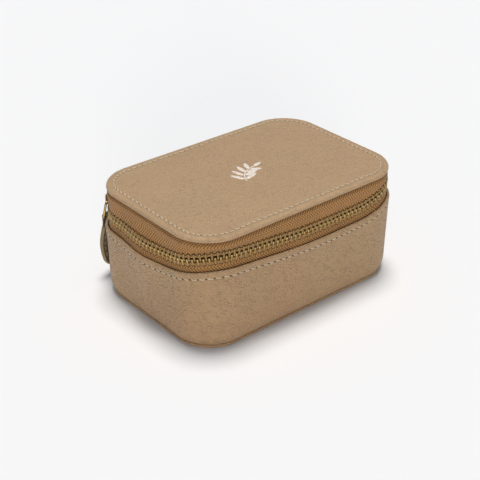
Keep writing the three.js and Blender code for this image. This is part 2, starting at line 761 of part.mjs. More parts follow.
// A rectangle of wire: its upper bar runs through the bail and the strap is folded round its lower bar.
function pullRing() {
  const frame = (Kind, half, top, low) =>
    path(Kind, [[-half, low], [half, low], [half, top], [-half, top]]);
  const low = RING_TOP - RING_DROP;
  const ring = frame(THREE.Shape, RING_HALF_Y + WIRE / 2, RING_TOP + WIRE / 2, low - WIRE / 2);
  ring.holes.push(frame(THREE.Path, RING_HALF_Y - WIRE / 2, RING_TOP - WIRE / 2, low + WIRE / 2));
  const solid = new THREE.ExtrudeGeometry(ring, { depth: WIRE, bevelEnabled: false });
  return solid.translate(0, 0, -WIRE / 2).rotateX(Math.PI / 2).rotateZ(Math.PI / 2).translate(PULL_X, 0, 0);
}

// A leather strap folded over the ring's lower bar, its two layers sewn together below it.
function pullTab() {
  const bar = RING_TOP - RING_DROP;
  const clear = WIRE / 2 + 0.25;
  const loop = clear + STRAP;
  const pinch = bar - 5;
  const profile = new THREE.Shape();
  profile.absarc(PULL_X, bar, loop, Math.PI, 0, true);
  profile.lineTo(PULL_X + STRAP, pinch);
  profile.lineTo(PULL_X + STRAP, TAB_FOOT + 1);
  profile.lineTo(PULL_X + STRAP - 0.3, TAB_FOOT);
  profile.lineTo(PULL_X - STRAP + 0.3, TAB_FOOT);
  profile.lineTo(PULL_X - STRAP, TAB_FOOT + 1);
  profile.lineTo(PULL_X - STRAP, pinch);
  profile.closePath();
  const eye = new THREE.Path();
  eye.absarc(PULL_X, bar, clear, 0, Math.PI, false);
  eye.lineTo(PULL_X, bar - 2.5);
  eye.closePath();
  profile.holes.push(eye);
  return alongChain(profile, STRAP_HALF_Y);
}

piece("slider_bail", atSlider(sliderBail()), brass);
piece("pull_ring", atSlider(pullRing()), brass);
piece("pull_tab", atSlider(pullTab()), leather);

export default group;
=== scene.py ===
"""A zip-around leather jewellery case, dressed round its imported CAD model.

Lengths here are millimetres until a mesh is made, and Blender's own metres after that. The plan outline, the
zip's centre line and the soft top edge of the base follow the same rules as the CAD part.
"""

import math
from itertools import accumulate

import bmesh
import bpy
from mathutils import Matrix, Vector, noise


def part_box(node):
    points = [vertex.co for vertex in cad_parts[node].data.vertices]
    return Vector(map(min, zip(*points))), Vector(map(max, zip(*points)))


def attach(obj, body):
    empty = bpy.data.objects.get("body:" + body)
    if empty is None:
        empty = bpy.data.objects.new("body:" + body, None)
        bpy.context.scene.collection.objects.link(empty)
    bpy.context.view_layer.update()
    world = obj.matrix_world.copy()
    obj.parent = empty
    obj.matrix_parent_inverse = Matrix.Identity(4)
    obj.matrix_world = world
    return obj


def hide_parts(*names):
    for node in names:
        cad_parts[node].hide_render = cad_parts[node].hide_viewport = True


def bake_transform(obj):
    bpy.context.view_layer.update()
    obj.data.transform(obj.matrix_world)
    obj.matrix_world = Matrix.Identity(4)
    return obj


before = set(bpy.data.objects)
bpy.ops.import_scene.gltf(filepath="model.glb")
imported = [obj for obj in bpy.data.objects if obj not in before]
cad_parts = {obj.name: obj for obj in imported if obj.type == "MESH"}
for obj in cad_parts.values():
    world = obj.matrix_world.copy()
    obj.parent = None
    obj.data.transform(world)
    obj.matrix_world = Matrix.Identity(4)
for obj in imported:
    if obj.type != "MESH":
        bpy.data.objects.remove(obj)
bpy.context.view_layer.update()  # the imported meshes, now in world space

MM = 0.001
X_AXIS, Y_AXIS, UP = (Vector(axis) for axis in ((1, 0, 0), (0, 1, 0), (0, 0, 1)))
WHITE = (1.0, 1.0, 1.0)


def node_box(node):
    """A CAD node's lowest and highest corners, in millimetres."""
    return [Vector(corner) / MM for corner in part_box(node)]


# ------------------------------------------------------------------ driving dimensions

LID_LOW, LID_HIGH = node_box("lid_leather")
LINING_LOW, LINING_HIGH = node_box("base_wall_lining")
PANEL_HIGH = node_box("base_bottom_leather")[1]

LENGTH = LID_HIGH.x - LID_LOW.x
DEPTH = LID_HIGH.y - LID_LOW.y
CORNER_R = 18.0  # of the plan outline

LID_RIM = LID_LOW.z
LID_CROWN = 0.5  # how far the middle of the lid stands above its seam
LID_TOP = LID_HIGH.z - LID_CROWN
LID_SEAM_IN = 3.4  # from the lid's edge in to its seam
LID_DOME_IN = 16.0  # from the lid's edge in to its flat middle

WALL_FOOT = PANEL_HIGH.z + 0.1
WALL_FOOT_OUT = 0.3  # how far the wall stands off the outline at its foot
WALL_HEAD_OUT = 1.3  # and at its top edge, at the corners
BULGE_LONG = 1.0  # how far that edge bellies out in the middle of the front
BULGE_SHORT = 2.0  # and in the middle of the left and right sides
BULGE_BACK = 0.3
EDGE_DROP = 5.2  # from the zip's centre line down to the base's top edge
BASE_SEAM_DOWN = 3.0  # from the base's top edge down to its seam

CHAIN_INSET = -1.0  # from the outline out to the chain's middle
CHAIN_FOLLOW = 0.8  # the share of the base's bulge that the chain follows
TOOTH_PITCH = 2.4
CORD_R = 0.8  # the tape's corded edge
CORD_AT = 1.75  # from the centre line to the middle of that cord
TAPE_THICK = 0.5
TAPE_SEWN = 10.5  # from the centre line to where the lower tape ends

# Places by their angle: degrees round the back-left corner from +X, and mirrored at the back-right.
SPINE_END = 91.0
STOPS_AT = 94.0
TEETH_START = 98.0
TEETH_END = 96.5
SHORT_TEETH_END = 140.0
SLIDER_AT = 112.0

STITCH_PITCH = 3.2
LID_STITCH_PITCH = 2.9


# ------------------------------------------------------------------ the plan outline

HX = LENGTH / 2 - CORNER_R
HY = DEPTH / 2 - CORNER_R
ARC = math.pi / 2 * CORNER_R

# The outline's runs, counter-clockwise from the middle of the back: name, length, and whether it turns.
RUNS = (
    ("back_to_left", HX, False),
    ("back_left", ARC, True),
    ("left", 2 * HY, False),
    ("front_left", ARC, True),
    ("front", 2 * HX, False),
    ("front_right", ARC, True),
    ("right", 2 * HY, False),
    ("back_right", ARC, True),
    ("back_to_right", HX, False),
)
STARTS = dict(zip((name for name, _, _ in RUNS), accumulate((run for _, run, _ in RUNS), initial=0.0)))
LENGTHS = {name: run for name, run, _ in RUNS}
AROUND = sum(LENGTHS.values())


def along(name, share):
    """Distance round the outline of a point part-way along a named run."""
    return STARTS[name] + share * LENGTHS[name]


def back_left(degrees):
    """Distance round the outline of a point on the back-left corner, by its angle from +X."""
    return along("back_left", (degrees - 90) / 90)


def back_right(degrees):
    """The same on the back-right corner, mirrored."""
    return AROUND - back_left(degrees)


def run_at(distance):
    """The name of the run that a distance falls in, and how far into it that is."""
    d = distance % AROUND
    name = max((name for name in STARTS if STARTS[name] <= d), key=STARTS.get)
    return name, d - STARTS[name]


def outline(distance):
    """The point and its outward normal, at a distance counter-clockwise from the middle of the back."""
    d = distance % AROUND
    point, heading = Vector((0.0, DEPTH / 2)), math.pi
    for _, run, turns in RUNS:
        step = min(d, run)
        if turns:
            centre = point + CORNER_R * Vector((-math.sin(heading), math.cos(heading)))
            heading += step / CORNER_R
            point = centre + CORNER_R * Vector((math.sin(heading), -math.cos(heading)))
        else:
            point = point + step * Vector((math.cos(heading), math.sin(heading)))
        d -= step
        if d <= 0:
            break
    return point, Vector((math.sin(heading), -math.cos(heading)))


def at(distance, out, z):
    """The point that stands out from the outline by out, at height z."""
    point, normal = outline(distance)
    return Vector((*(point + normal * out), z))


# Height of the zip's centre line, at chosen places round the outline.
ZIP_LINE = (
    (0.0, 40.0),
    (along("back_to_left", 0.6), 39.6),
    (along("back_left", 0), 38.6),
    (along("left", 0.5), 38.6),
    (along("left", 0.85), 39.2),
    (along("front_left", 0.75), 43.4),
    (along("front", 0.12), 42.2),
    (along("front", 0.5), 40.3),
    (along("front", 0.88), 39.8),
    (along("front_right", 0.5), 43.6),
    (along("right", 0.5), 40.2),
    (along("back_right", 0.5), 40.0),
    (AROUND, 40.0),
)


def knot_slope(points, i):
    """The slope at a knot that keeps a curve from overshooting: level at the ends, at a peak and at a dip."""
    if i in (0, len(points) - 1):
        return 0.0
    (x0, y0), (x1, y1), (x2, y2) = points[i - 1:i + 2]
    before, after = (y1 - y0) / (x1 - x0), (y2 - y1) / (x2 - x1)
    return 0.0 if before * after <= 0 else 2 * before * after / (before + after)


def zip_line(distance):
    """Height of the zip's centre line: a smooth curve through ZIP_LINE."""
    d = distance % AROUND
    i = next(k for k, (x, _) in enumerate(ZIP_LINE) if x > d)
    (x0, y0), (x1, y1) = ZIP_LINE[i - 1], ZIP_LINE[i]
    span = x1 - x0
    t = (d - x0) / span
    m0, m1 = knot_slope(ZIP_LINE, i - 1) * span, knot_slope(ZIP_LINE, i) * span
    return (
        y0 * (2 * t**3 - 3 * t**2 + 1) + m0 * (t**3 - 2 * t**2 + t)
        + y1 * (3 * t**2 - 2 * t**3) + m1 * (t**3 - t**2)
    )


def bulge(distance):
    """How far the soft top edge bellies out: nothing at the corners, most in the middle of a side."""
    name, into = run_at(distance)
    share = into / LENGTHS[name]
    if name in ("left", "right"):
        return BULGE_SHORT * math.sin(math.pi * share) ** 2
    if name == "front":
        return BULGE_LONG * math.sin(math.pi * share) ** 2
    if name == "back_to_left":
        return BULGE_BACK * math.cos(math.pi * share / 2) ** 2
    if name == "back_to_right":
        return BULGE_BACK * math.sin(math.pi * share / 2) ** 2
    return 0.0


def chain_out(d):
    return CHAIN_INSET + CHAIN_FOLLOW * bulge(d)


def head_out(d):
    return WALL_HEAD_OUT + bulge(d)


def edge_height(d):
    return zip_line(d) - EDGE_DROP


def edge_inset(x, y):
    """How far a point of the lid lies inside the plan outline."""
    corner = Vector((max(abs(x) - HX, 0.0), max(abs(y) - HY, 0.0)))
    if corner.x > 0 and corner.y > 0:
        return CORNER_R - corner.length
    return min(LENGTH / 2 - abs(x), DEPTH / 2 - abs(y))


def ripple(point, size, height, seed=0.0):
    """A gentle unevenness: smooth noise of that feature size and height."""
    return height * noise.noise(Vector(point) / size + Vector((seed, 3.7 * seed, 1.3)))


# ------------------------------------------------------------------ mesh making


def smooth(points, steps=4, closed=True):
    """A curve through all the points, with that many steps from each to the next."""
    points = [Vector(p) for p in points]
    count = len(points)
    curve = []
    for i in range(count if closed else count - 1):
        if closed:
            p0, p1, p2, p3 = (points[(i + k) % count] for k in (-1, 0, 1, 2))
        else:
            p0, p1, p2, p3 = (points[min(max(i + k, 0), count - 1)] for k in (-1, 0, 1, 2))
        for step in range(steps):
            t = step / steps
            curve.append(
                0.5 * (2 * p1 + (p2 - p0) * t + (2 * p0 - 5 * p1 + 4 * p2 - p3) * t**2
                       + (3 * p1 - p0 - 3 * p2 + p3) * t**3)
            )
    return curve if closed else curve + [points[-1]]


def put(name, data):
    """A new object in the scene."""
    obj = bpy.data.objects.new(name, data)
    bpy.context.scene.collection.objects.link(obj)
    return obj


class Skin:
    """Points, faces and surface coordinates for one mesh, in millimetres. A point's mark, from 0 to 1, says
    how rubbed it is; on the upper zip teeth it is also cut down as painted shade."""

    def __init__(self, points=(), mark=0.0):
        self.points = list(points)
        self.marks = [mark] * len(self.points)
        self.faces, self.coords = [], []

    def face(self, corners, coords):
        self.faces.append(corners)
        self.coords.append(coords)

    def cap(self, corners):
        """Fills a ring of points."""
        self.face(tuple(corners), tuple((self.points[c].x, self.points[c].z) for c in corners))

    def build(self, name, paint):
        """Makes the Blender object, with its faces turned outwards."""
        mesh = bpy.data.meshes.new(name)
        mesh.from_pydata([tuple(p * MM) for p in self.points], [], self.faces)
        layer = mesh.uv_layers.new(name="surface")
        layer.data.foreach_set("uv", [c * MM for face in self.coords for pair in face for c in pair])
        if any(self.marks):
            shade = mesh.attributes.new("bright", "FLOAT", "POINT")
            shade.data.foreach_set("value", self.marks)
        shell = bmesh.new()
        shell.from_mesh(mesh)
        bmesh.ops.recalc_face_normals(shell, faces=shell.faces)
        shell.to_mesh(mesh)
        shell.free()
        for polygon in mesh.polygons:
            polygon.use_smooth = True
        mesh.materials.append(PAINTS[paint])
        return put(name, mesh)


def lengths_down(section):
    """Distance travelled along a closed section, up to each of its points and back to the first."""
    steps = ((section[(k + 1) % len(section)] - section[k]).length for k in range(len(section)))
    return list(accumulate(steps, initial=0.0))


def stops(start=0.0, end=AROUND, step=1.0):
    """Even distances round the outline, both ends included."""
    count = max(1, round((end - start) / step))
    return [start + (end - start) * k / count for k in range(count + 1)]


def barrel(rings, across, down, closed=False, mark=0.0):
    """A skin over neighbouring rings of points. Its end rings are filled, unless the last joins the first.
    across and down give the surface coordinates of the rings, and of the points in each."""
    skin = Skin((p for ring in rings for p in ring), mark)
    count, size = len(rings), len(rings[0])
    for i in range(count if closed else count - 1):
        a, b = i * size, (i + 1) % count * size
        for k in range(size):
            m = (k + 1) % size
            left, right, low, high = across[i], across[i + 1], down[k], down[k + 1]
            skin.face((a + k, b + k, b + m, a + m), ((left, low), (right, low), (right, high), (left, high)))
    if not closed:
        last = count * size - 1
        skin.cap(range(size))
        skin.cap(range(last, last - size, -1))
    return skin


def sweep(section, start=None, end=None, step=1.0, ripples=(), mark=0.0):
    """A closed skin that follows the outline. section(d) gives its (out, z) points. Without start and end it
    runs all the way round."""
    whole = start is None
    where = stops(step=step) if whole else stops(start, end, step)
    rings = []
    for d in where[:-1] if whole else where:
        ring = [at(d, out, z) for out, z in section(d)]
        normal = Vector((*outline(d)[1], 0.0))
        for size, height in ripples:
            ring = [p + normal * ripple(p, size, height) for p in ring]
        rings.append(ring)
    return barrel(rings, where, lengths_down(section(where[len(where) // 2])), whole, mark)


def box_skin(low, high, round_by, steps=3):
    """A block with rounded edges, from its lowest to its highest corner."""
    shell = bmesh.new()
    bmesh.ops.create_cube(shell, size=1.0)
    size, middle = high - low, (low + high) / 2
    for vertex in shell.verts:
        vertex.co = Vector(c * s for c, s in zip(vertex.co, size)) + middle
    bmesh.ops.bevel(
        shell, geom=shell.edges[:], offset=round_by, segments=steps, profile=0.5, affect="EDGES"
    )
    skin = Skin(v.co.copy() for v in shell.verts)
    for face in shell.faces:
        axis = max(range(3), key=lambda k: abs(face.normal[k]))
        u, v = [k for k in range(3) if k != axis]
        skin.face(tuple(x.index for x in face.verts), tuple((x.co[u], x.co[v]) for x in face.verts))
    shell.free()
    return skin


def merge(skins):
    """One skin that holds several."""
    whole = Skin()
    for skin in skins:
        first = len(whole.points)
        whole.points += skin.points
        whole.marks += skin.marks
        whole.faces += [tuple(first + c for c in face) for face in skin.faces]
        whole.coords += skin.coords
    return whole


def placed(skin, matrix):
    """The skin, moved by a matrix."""
    skin.points = [matrix @ p for p in skin.points]
    return skin


def frame_at(origin, x_axis, z_axis):
    """A matrix that stands something at origin, along the x axis, with z as near as it can be to z_axis."""
    x = x_axis.normalized()
    y = z_axis.cross(x).normalized()
    z = x.cross(y)
    return Matrix((
        (x.x, y.x, z.x, origin.x), (x.y, y.y, z.y, origin.y), (x.z, y.z, z.z, origin.z), (0, 0, 0, 1),
    ))


def piece(skin, name, paint, body, slot, *nodes):
    """Builds a skin, and makes it ride on a body and stand for the CAD nodes, which it hides. slot is not
    used.
    """
    obj = skin.build(name, paint)
    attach(obj, body)
    if nodes:
        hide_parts(*nodes)
    return obj


# ------------------------------------------------------------------ material making


class Paint:
    """A material with one Principled shader, and short ways to add the nodes that feed it."""

    def __init__(self, name, color, roughness, metallic=0.0, **constants):
        self.material = bpy.data.materials.new(name)
        self.material.use_nodes = True
        self.tree = self.material.node_tree
        self.shader = self.tree.nodes["Principled BSDF"]
        constants |= {"Base_Color": (*color, 1.0), "Roughness": roughness, "Metallic": metallic}
        for socket, value in constants.items():
            self.shader.inputs[socket.replace("_", " ")].default_value = value

    def node(self, kind, settings=None, **inputs):
        """Adds a node. Its inputs are numbers, colours or other nodes' outputs, by socket name or number."""
        made = self.tree.nodes.new(kind)
        for key, value in (settings or {}).items():
            setattr(made, key, value)
        for key, value in inputs.items():
            number = key.lstrip("_")
            socket = made.inputs[int(number) if number.isdigit() else key.replace("_", " ")]
            if isinstance(value, bpy.types.NodeSocket):
                self.tree.links.new(value, socket)
            else:
                socket.default_value = value
        return made

    def math(self, operation, a, b=0.0, c=0.0):
        return self.node("ShaderNodeMath", {"operation": operation}, _0=a, _1=b, _2=c).outputs[0]

    def spread(self, value, low, high, new_low=0.0, new_high=1.0):
        """Maps low..high to new_low..new_high, and holds it inside them."""
        return self.node(
            "ShaderNodeMapRange", {"clamp": True},
            Value=value, From_Min=low, From_Max=high, To_Min=new_low, To_Max=new_high,
        ).outputs[0]

    def mix(self, share, a, b, blend="MIX"):
        """Mixes two colours: all a where share is 0, all b where it is 1."""
        return self.node(
            "ShaderNodeMix", {"data_type": "RGBA", "blend_type": blend},
            _0=share, _6=rgba(a), _7=rgba(b),
        ).outputs[2]

    def shades(self, color, value, low, high, dark, light):
        """A colour times dark where value is low, and times light where it is high."""
        return self.mix(self.spread(value, low, high), [c * dark for c in color], [c * light for c in color])

    def product(self, color, *tints):
        """A colour multiplied by each of the tints in turn."""
        for tint in tints:
            color = self.mix(1.0, color, tint, "MULTIPLY")
        return color

    def ridges(self, along, pitch):
        """Straight ridges: from 0 up to 0.5 and back to 0 in each pitch of that many millimetres."""
        return self.math("PINGPONG", self.math("DIVIDE", along, pitch * MM), 0.5)

    def where(self, surface=False):
        """The object's own coordinates, or the surface coordinates of a piece that bends."""
        if surface:
            return self.node("ShaderNodeUVMap", {"uv_map": "surface"}).outputs["UV"]
        return self.node("ShaderNodeTexCoord").outputs["Object"]

    def noise(self, place, size, detail=2.0, roughness=0.5):
        """Smooth noise, from 0 to 1, with features of that size in millimetres."""
        return self.node(
            "ShaderNodeTexNoise", Vector=place, Scale=1 / (size * MM), Detail=detail, Roughness=roughness,
        ).outputs["Fac"]

    def cells(self, place, size, feature="F1"):
        """Distance in a field of cells of that size in millimetres: from the middles, or from the edges."""
        made = self.node("ShaderNodeTexVoronoi", {"feature": feature}, Vector=place, Scale=1 / (size * MM))
        return made.outputs["Distance"]

    def bump(self, height, depth, under=None):
        """Turns a 0 to 1 height into a bumpy normal, depth millimetres from lowest to highest."""
        inputs = {"Height": height, "Strength": 1.0, "Distance": depth * MM}
        if under is not None:
            inputs["Normal"] = under
        return self.node("ShaderNodeBump", **inputs).outputs["Normal"]

    def feed(self, **sockets):
        for name, output in sockets.items():
            self.tree.links.new(output, self.shader.inputs[name.replace("_", " ")])
        return self.material


def rgba(value):
    """A colour with its alpha, or the node output that gives one."""
    return value if isinstance(value, bpy.types.NodeSocket) else (*value, 1.0)


# The zip tape's herringbone, in millimetres.
TWILL_RIB = 1.4  # from one rib to the next, along the tape
TWILL_BAND = 2.2  # the width of the band in which the ribs slant one way
TWILL_SLANT = 1.05  # how far a rib runs along the tape in a millimetre across it
TWILL_WEFT = 0.5
TWILL_YARNS = 3.0  # to a rib
TWILL_HIGHEST = 2.05  # what the parts of its relief add up to at the most

PORE_DEEP = 0.008  # the relief of the leather's pores


def leather(name, color, pebble, depth, roughness, surface=False, crease_shade=0.82):
    """Grained leather. pebble is the size of its grain and depth that grain's relief, in millimetres.
    crease_shade is how dark its valleys are painted, as a share of its colour: painted shade in the grain's
    valleys."""
    paint = Paint(name, color, roughness, Sheen_Weight=0.08, Sheen_Roughness=0.5, Specular_IOR_Level=0.35)
    place = paint.where(surface)
    warp = paint.noise(place, pebble * 2.2, detail=1.0)
    bent = paint.node(
        "ShaderNodeVectorMath", {"operation": "MULTIPLY_ADD"},
        _0=paint.node("ShaderNodeCombineXYZ", X=warp, Y=warp, Z=warp).outputs[0],
        _1=(pebble * MM * 1.3,) * 3, _2=place,
    ).outputs[0]
    valley = paint.spread(paint.cells(bent, pebble, "DISTANCE_TO_EDGE"), 0.0, 0.34)
    grain = paint.cells(bent, pebble * 0.8, "SMOOTH_F1")
    fold = paint.spread(paint.noise(bent, pebble * 1.6), 0.25, 0.65)
    relief = paint.math("MULTIPLY_ADD", grain, -0.5, paint.math("MULTIPLY", valley, fold))
    pores = paint.noise(place, pebble * 0.3, detail=3.0, roughness=0.7)
    patches = paint.noise(place, 14.0, detail=3.0, roughness=0.6)
    drift = paint.noise(place, 38.0, detail=1.0)
    tone = paint.product(
        paint.shades(color, patches, 0.3, 0.7, 0.98, 1.02),
        paint.mix(paint.spread(drift, 0.35, 0.65), (1.01, 0.99, 0.99), (0.99, 1.01, 0.985)),
        # painted shade in the grain's valleys, and a little painted light on the tops of its pebbles
        paint.shades(WHITE, relief, 0.0, 0.8, crease_shade, 1.03),
        paint.shades(WHITE, pores, 0.25, 0.75, 0.98, 1.02),
    )
    shine = paint.spread(paint.noise(place, 5.0), 0.3, 0.7, roughness - 0.06, roughness + 0.08)
    normal = paint.bump(relief, depth, paint.bump(pores, PORE_DEEP))
    return paint.feed(Base_Color=tone, Roughness=shine, Normal=normal)


def cut_edge(name, color):
    """The painted edge of a strap: smooth, darker, and a little glossy."""
    paint = Paint(name, color, 0.38, Specular_IOR_Level=0.5)
    streaks = paint.noise(paint.where(), 0.9, detail=3.0)
    tone = paint.shades(color, streaks, 0.3, 0.7, 0.8, 1.2)
    return paint.feed(Base_Color=tone, Normal=paint.bump(streaks, 0.04))


def suede(name, color, surface=False):
    """Napped microfibre: a soft cloudy pile."""
    paint = Paint(name, color, 0.95, Sheen_Weight=0.6, Sheen_Roughness=0.45, Specular_IOR_Level=0.15)
    place = paint.where(surface)
    pile = paint.noise(place, 0.22, detail=3.0, roughness=0.7)
    brushed = paint.noise(place, 7.0, detail=4.0, roughness=0.65)
    tone = paint.product(
        paint.shades(color, brushed, 0.3, 0.7, 0.9, 1.06), paint.shades(WHITE, pile, 0.25, 0.75, 0.86, 1.08),
    )
    return paint.feed(Base_Color=tone, Normal=paint.bump(pile, 0.07))


def twill(name, light, dark):
    """Zip tape: herringbone ribs that turn back on each other in bands, each rib of fine yarns. Its colour is
    painted light on the ribs and painted shade in the grooves.
    """
    paint = Paint(name, light, 0.8, Sheen_Weight=0.15, Sheen_Roughness=0.4, Specular_IOR_Level=0.2)
    place = paint.where(surface=True)
    axes = paint.node("ShaderNodeSeparateXYZ", Vector=place).outputs
    band = paint.math("PINGPONG", axes["Y"], TWILL_BAND * MM)
    slant = paint.math("MULTIPLY", band, TWILL_SLANT / (TWILL_RIB * MM))
    phase = paint.math("MULTIPLY_ADD", axes["X"], 1 / (TWILL_RIB * MM), slant)
    relief = paint.math("MULTIPLY", paint.math("PINGPONG", phase, 0.5), 2.0)
    yarn = paint.math("PINGPONG", paint.math("MULTIPLY", phase, TWILL_YARNS), 0.5)
    weft = paint.ridges(axes["Y"], TWILL_WEFT)
    fuzz = paint.noise(place, 0.3, detail=3.0, roughness=0.7)
    for part, share in ((yarn, 0.5), (weft, 0.6), (fuzz, 0.5)):
        relief = paint.math("MULTIPLY_ADD", part, share, relief)
    relief = paint.math("DIVIDE", relief, TWILL_HIGHEST)
    worn = paint.noise(place, 6.0, detail=3.0)
    tone = paint.product(
        # dark in the grooves and light on the ribs: painted shade and painted highlight, following the relief
        paint.mix(paint.spread(relief, 0.25, 0.75), dark, light),
        paint.mix(paint.spread(worn, 0.3, 0.7), (0.93, 0.93, 0.93), (1.06, 1.04, 1.0)),
    )
    return paint.feed(Base_Color=tone, Normal=paint.bump(relief, 0.22))


def antique_brass(name, bright, dark, roughness=0.36):
    """Brass darkened in its recesses. The piece's "bright" marks say how rubbed each point is, and on the
    upper zip teeth they carry painted shade too.
    """
    paint = Paint(name, bright, roughness, metallic=1.0)
    rubbed = paint.node("ShaderNodeAttribute", {"attribute_name": "bright"}).outputs["Fac"]
    place = paint.where()
    cloud = paint.noise(place, 0.7, detail=4.0, roughness=0.65)
    share = paint.math("ADD", rubbed, paint.spread(cloud, 0.25, 0.75, -0.28, 0.22))
    tone = paint.mix(paint.spread(share, 0.05, 0.95), dark, bright)
    shine = paint.spread(cloud, 0.3, 0.7, roughness - 0.08, roughness + 0.14)
    return paint.feed(Base_Color=tone, Roughness=shine, Normal=paint.bump(cloud, 0.02))


def thread(name, color):
    """Waxed thread, with fine fibres."""
    paint = Paint(name, color, 0.6, Sheen_Weight=0.3, Sheen_Roughness=0.4, Specular_IOR_Level=0.3)
    fibre = paint.noise(paint.where(), 0.18, detail=3.0)
    tone = paint.shades(color, fibre, 0.3, 0.7, 0.82, 1.08)
    return paint.feed(Base_Color=tone, Normal=paint.bump(fibre, 0.03))


def shadowed_hole(name, color):
    """The inside of a needle hole, painted as shadow: near-black, where the hole lies in shade."""
    paint = Paint(name, color, 0.9, Specular_IOR_Level=0.1)
    grit = paint.noise(paint.where(), 0.2)
    return paint.feed(Base_Color=paint.mix(grit, [c * 0.6 for c in color], [c * 1.3 for c in color]))


def foil(name, bright, worn):
    """Hot-stamped foil: bright where it took, and rubbed back to the leather in specks."""
    paint = Paint(name, bright, 0.3)
    place = paint.where()
    wear = paint.noise(place, 1.1, detail=4.0, roughness=0.7)
    gone = paint.spread(wear, 0.56, 0.64)
    tone = paint.mix(gone, bright, worn)
    shine = paint.spread(gone, 0.0, 1.0, 0.28, 0.55)
    metal = paint.spread(gone, 0.0, 1.0, 0.12, 0.5)
    return paint.feed(Base_Color=tone, Roughness=shine, Metallic=metal, Normal=paint.bump(wear, 0.05))


def board(name, color):
    """Greyboard: pressed paper fibre with darker flecks."""
    paint = Paint(name, color, 0.9, Specular_IOR_Level=0.2)
    fleck = paint.noise(paint.where(), 0.6, detail=4.0, roughness=0.8)
    tone = paint.shades(color, fleck, 0.35, 0.6, 0.8, 1.1)
    return paint.feed(Base_Color=tone, Normal=paint.bump(fleck, 0.05))


def foam(name, color):
    """Open-celled padding, painted darker in its cells' hollows as shade."""
    paint = Paint(name, color, 0.95, Specular_IOR_Level=0.1)
    cell = paint.cells(paint.where(), 0.5)
    # painted shade in the hollows of the cells
    tone = paint.shades(color, cell, 0.0, 0.7, 0.75, 1.0)
    return paint.feed(Base_Color=tone, Normal=paint.bump(cell, 0.15))


def ribbed(name, color):
    """Woven elastic: fine cords along its length, painted darker in the grooves between them as shade."""
    paint = Paint(name, color, 0.85, Sheen_Weight=0.2, Specular_IOR_Level=0.2)
    axes = paint.node("ShaderNodeSeparateXYZ", Vector=paint.where(surface=True)).outputs
    relief = paint.math("MULTIPLY_ADD", paint.ridges(axes["X"], 0.35), 0.6, paint.ridges(axes["Y"], 0.55))
    # painted shade in the grooves between the cords
    tone = paint.shades(color, relief, 0.1, 0.7, 0.7, 1.05)
    return paint.feed(Base_Color=tone, Normal=paint.bump(relief, 0.15))


# The lid and the base are one leather. Their colours are lit and shaded copies: the base's is set darker than
# the lid's, painted shade on its upright walls and spine.
LEATHER = (0.483, 0.318, 0.173)
BASE_LEATHER_SHADED = (0.441, 0.274, 0.142)
SUEDE = (0.60, 0.48, 0.36)
BRASS = (0.52, 0.355, 0.145)
BRASS_DARK = (0.085, 0.05, 0.018)

PAINTS = {
    "lid_leather": leather("lid_leather", LEATHER, 1.2, 0.28, 0.5, crease_shade=0.94),
    "base_leather_shaded": leather("base_leather_shaded", BASE_LEATHER_SHADED, 1.5, 0.42, 0.54, crease_shade=0.93),
    "bending_leather_shaded": leather("bending_leather_shaded", BASE_LEATHER_SHADED, 1.5, 0.42, 0.54, surface=True, crease_shade=0.93),
    # The strap's leather is painted far darker than the case's: painted shade, for the shade it hangs in
    # beside the wall.
    "strap_leather_shaded": leather("strap_leather_shaded", (0.15, 0.10, 0.055), 0.8, 0.06, 0.5),
    "strap_edge": cut_edge("strap_edge", (0.23, 0.17, 0.075)),
    "suede": suede("suede", SUEDE),
    "bending_suede": suede("bending_suede", SUEDE, surface=True),
    # the tape's colour: painted lit on its ribs, and painted shaded in its grooves
    "tape": twill("tape", (0.60, 0.315, 0.118), (0.13, 0.058, 0.018)),
    "brass": antique_brass("brass", BRASS, BRASS_DARK),
    "thread": thread("thread", (0.66, 0.54, 0.38)),
    "strap_thread": thread("strap_thread", (0.27, 0.20, 0.12)),
    # needle holes painted near-black as shadow
    "needle_hole_shadow": shadowed_hole("needle_hole_shadow", (0.05, 0.028, 0.012)),
    "foil": foil("foil", (0.96, 0.84, 0.73), (0.64, 0.43, 0.24)),
    "board": board("board", (0.32, 0.30, 0.27)),
    "foam": foam("foam", (0.80, 0.76, 0.66)),
    "elastic": ribbed("elastic", (0.50, 0.38, 0.27)),
}


# ------------------------------------------------------------------ shared shapes


def strip(path, half, cord=0.0):
    """The closed section of a strip: a path of (out, z) points thickened to both sides, with a round cord of
    that radius along its first edge."""
    sides = ([], [])
    for i, p in enumerate(path):
        heading = path[min(i + 1, len(path) - 1)] - path[max(i - 1, 0)]
        square = Vector((-heading.y, heading.x)).normalized() * half
        sides[0].append(p + square)
        sides[1].append(p - square)
    first, last = (path[1] - path[0]).normalized(), (path[-1] - path[-2]).normalized()
    if not cord:
        return [path[0] - first * half * 0.6, *sides[0], path[-1] + last * half * 0.6, *reversed(sides[1])]
    turn = math.atan2(first.y, first.x)
    bead = [
        path[0] + cord * Vector((math.cos(turn - a), math.sin(turn - a)))
        for a in (math.radians(30 + 300 * k / 10) for k in range(11))
    ]
    return [*bead, *sides[0][1:], path[-1] + last * half * 0.6, *reversed(sides[1][1:])]


def tube(path, section, across, closed=False, mark=0.0):
    """A solid drawn along a flat path. section(i) gives its outline at point i, as (sideways, across) pairs:
    sideways lies in the path's plane and across stands square to it."""
    rings = []
    for i, p in enumerate(path):
        before = path[i - 1] if closed or i else p
        after = path[(i + 1) % len(path)] if closed or i + 1 < len(path) else p
        sideways = across.cross(after - before).normalized()
        rings.append([p + sideways * s + across * c for s, c in section(i)])
    return barrel(rings, lengths_down(path), lengths_down(rings[0]), closed, mark)


def powered(value, power):
    """A value to a power, with its sign kept."""
    return math.copysign(abs(value) ** power, value)


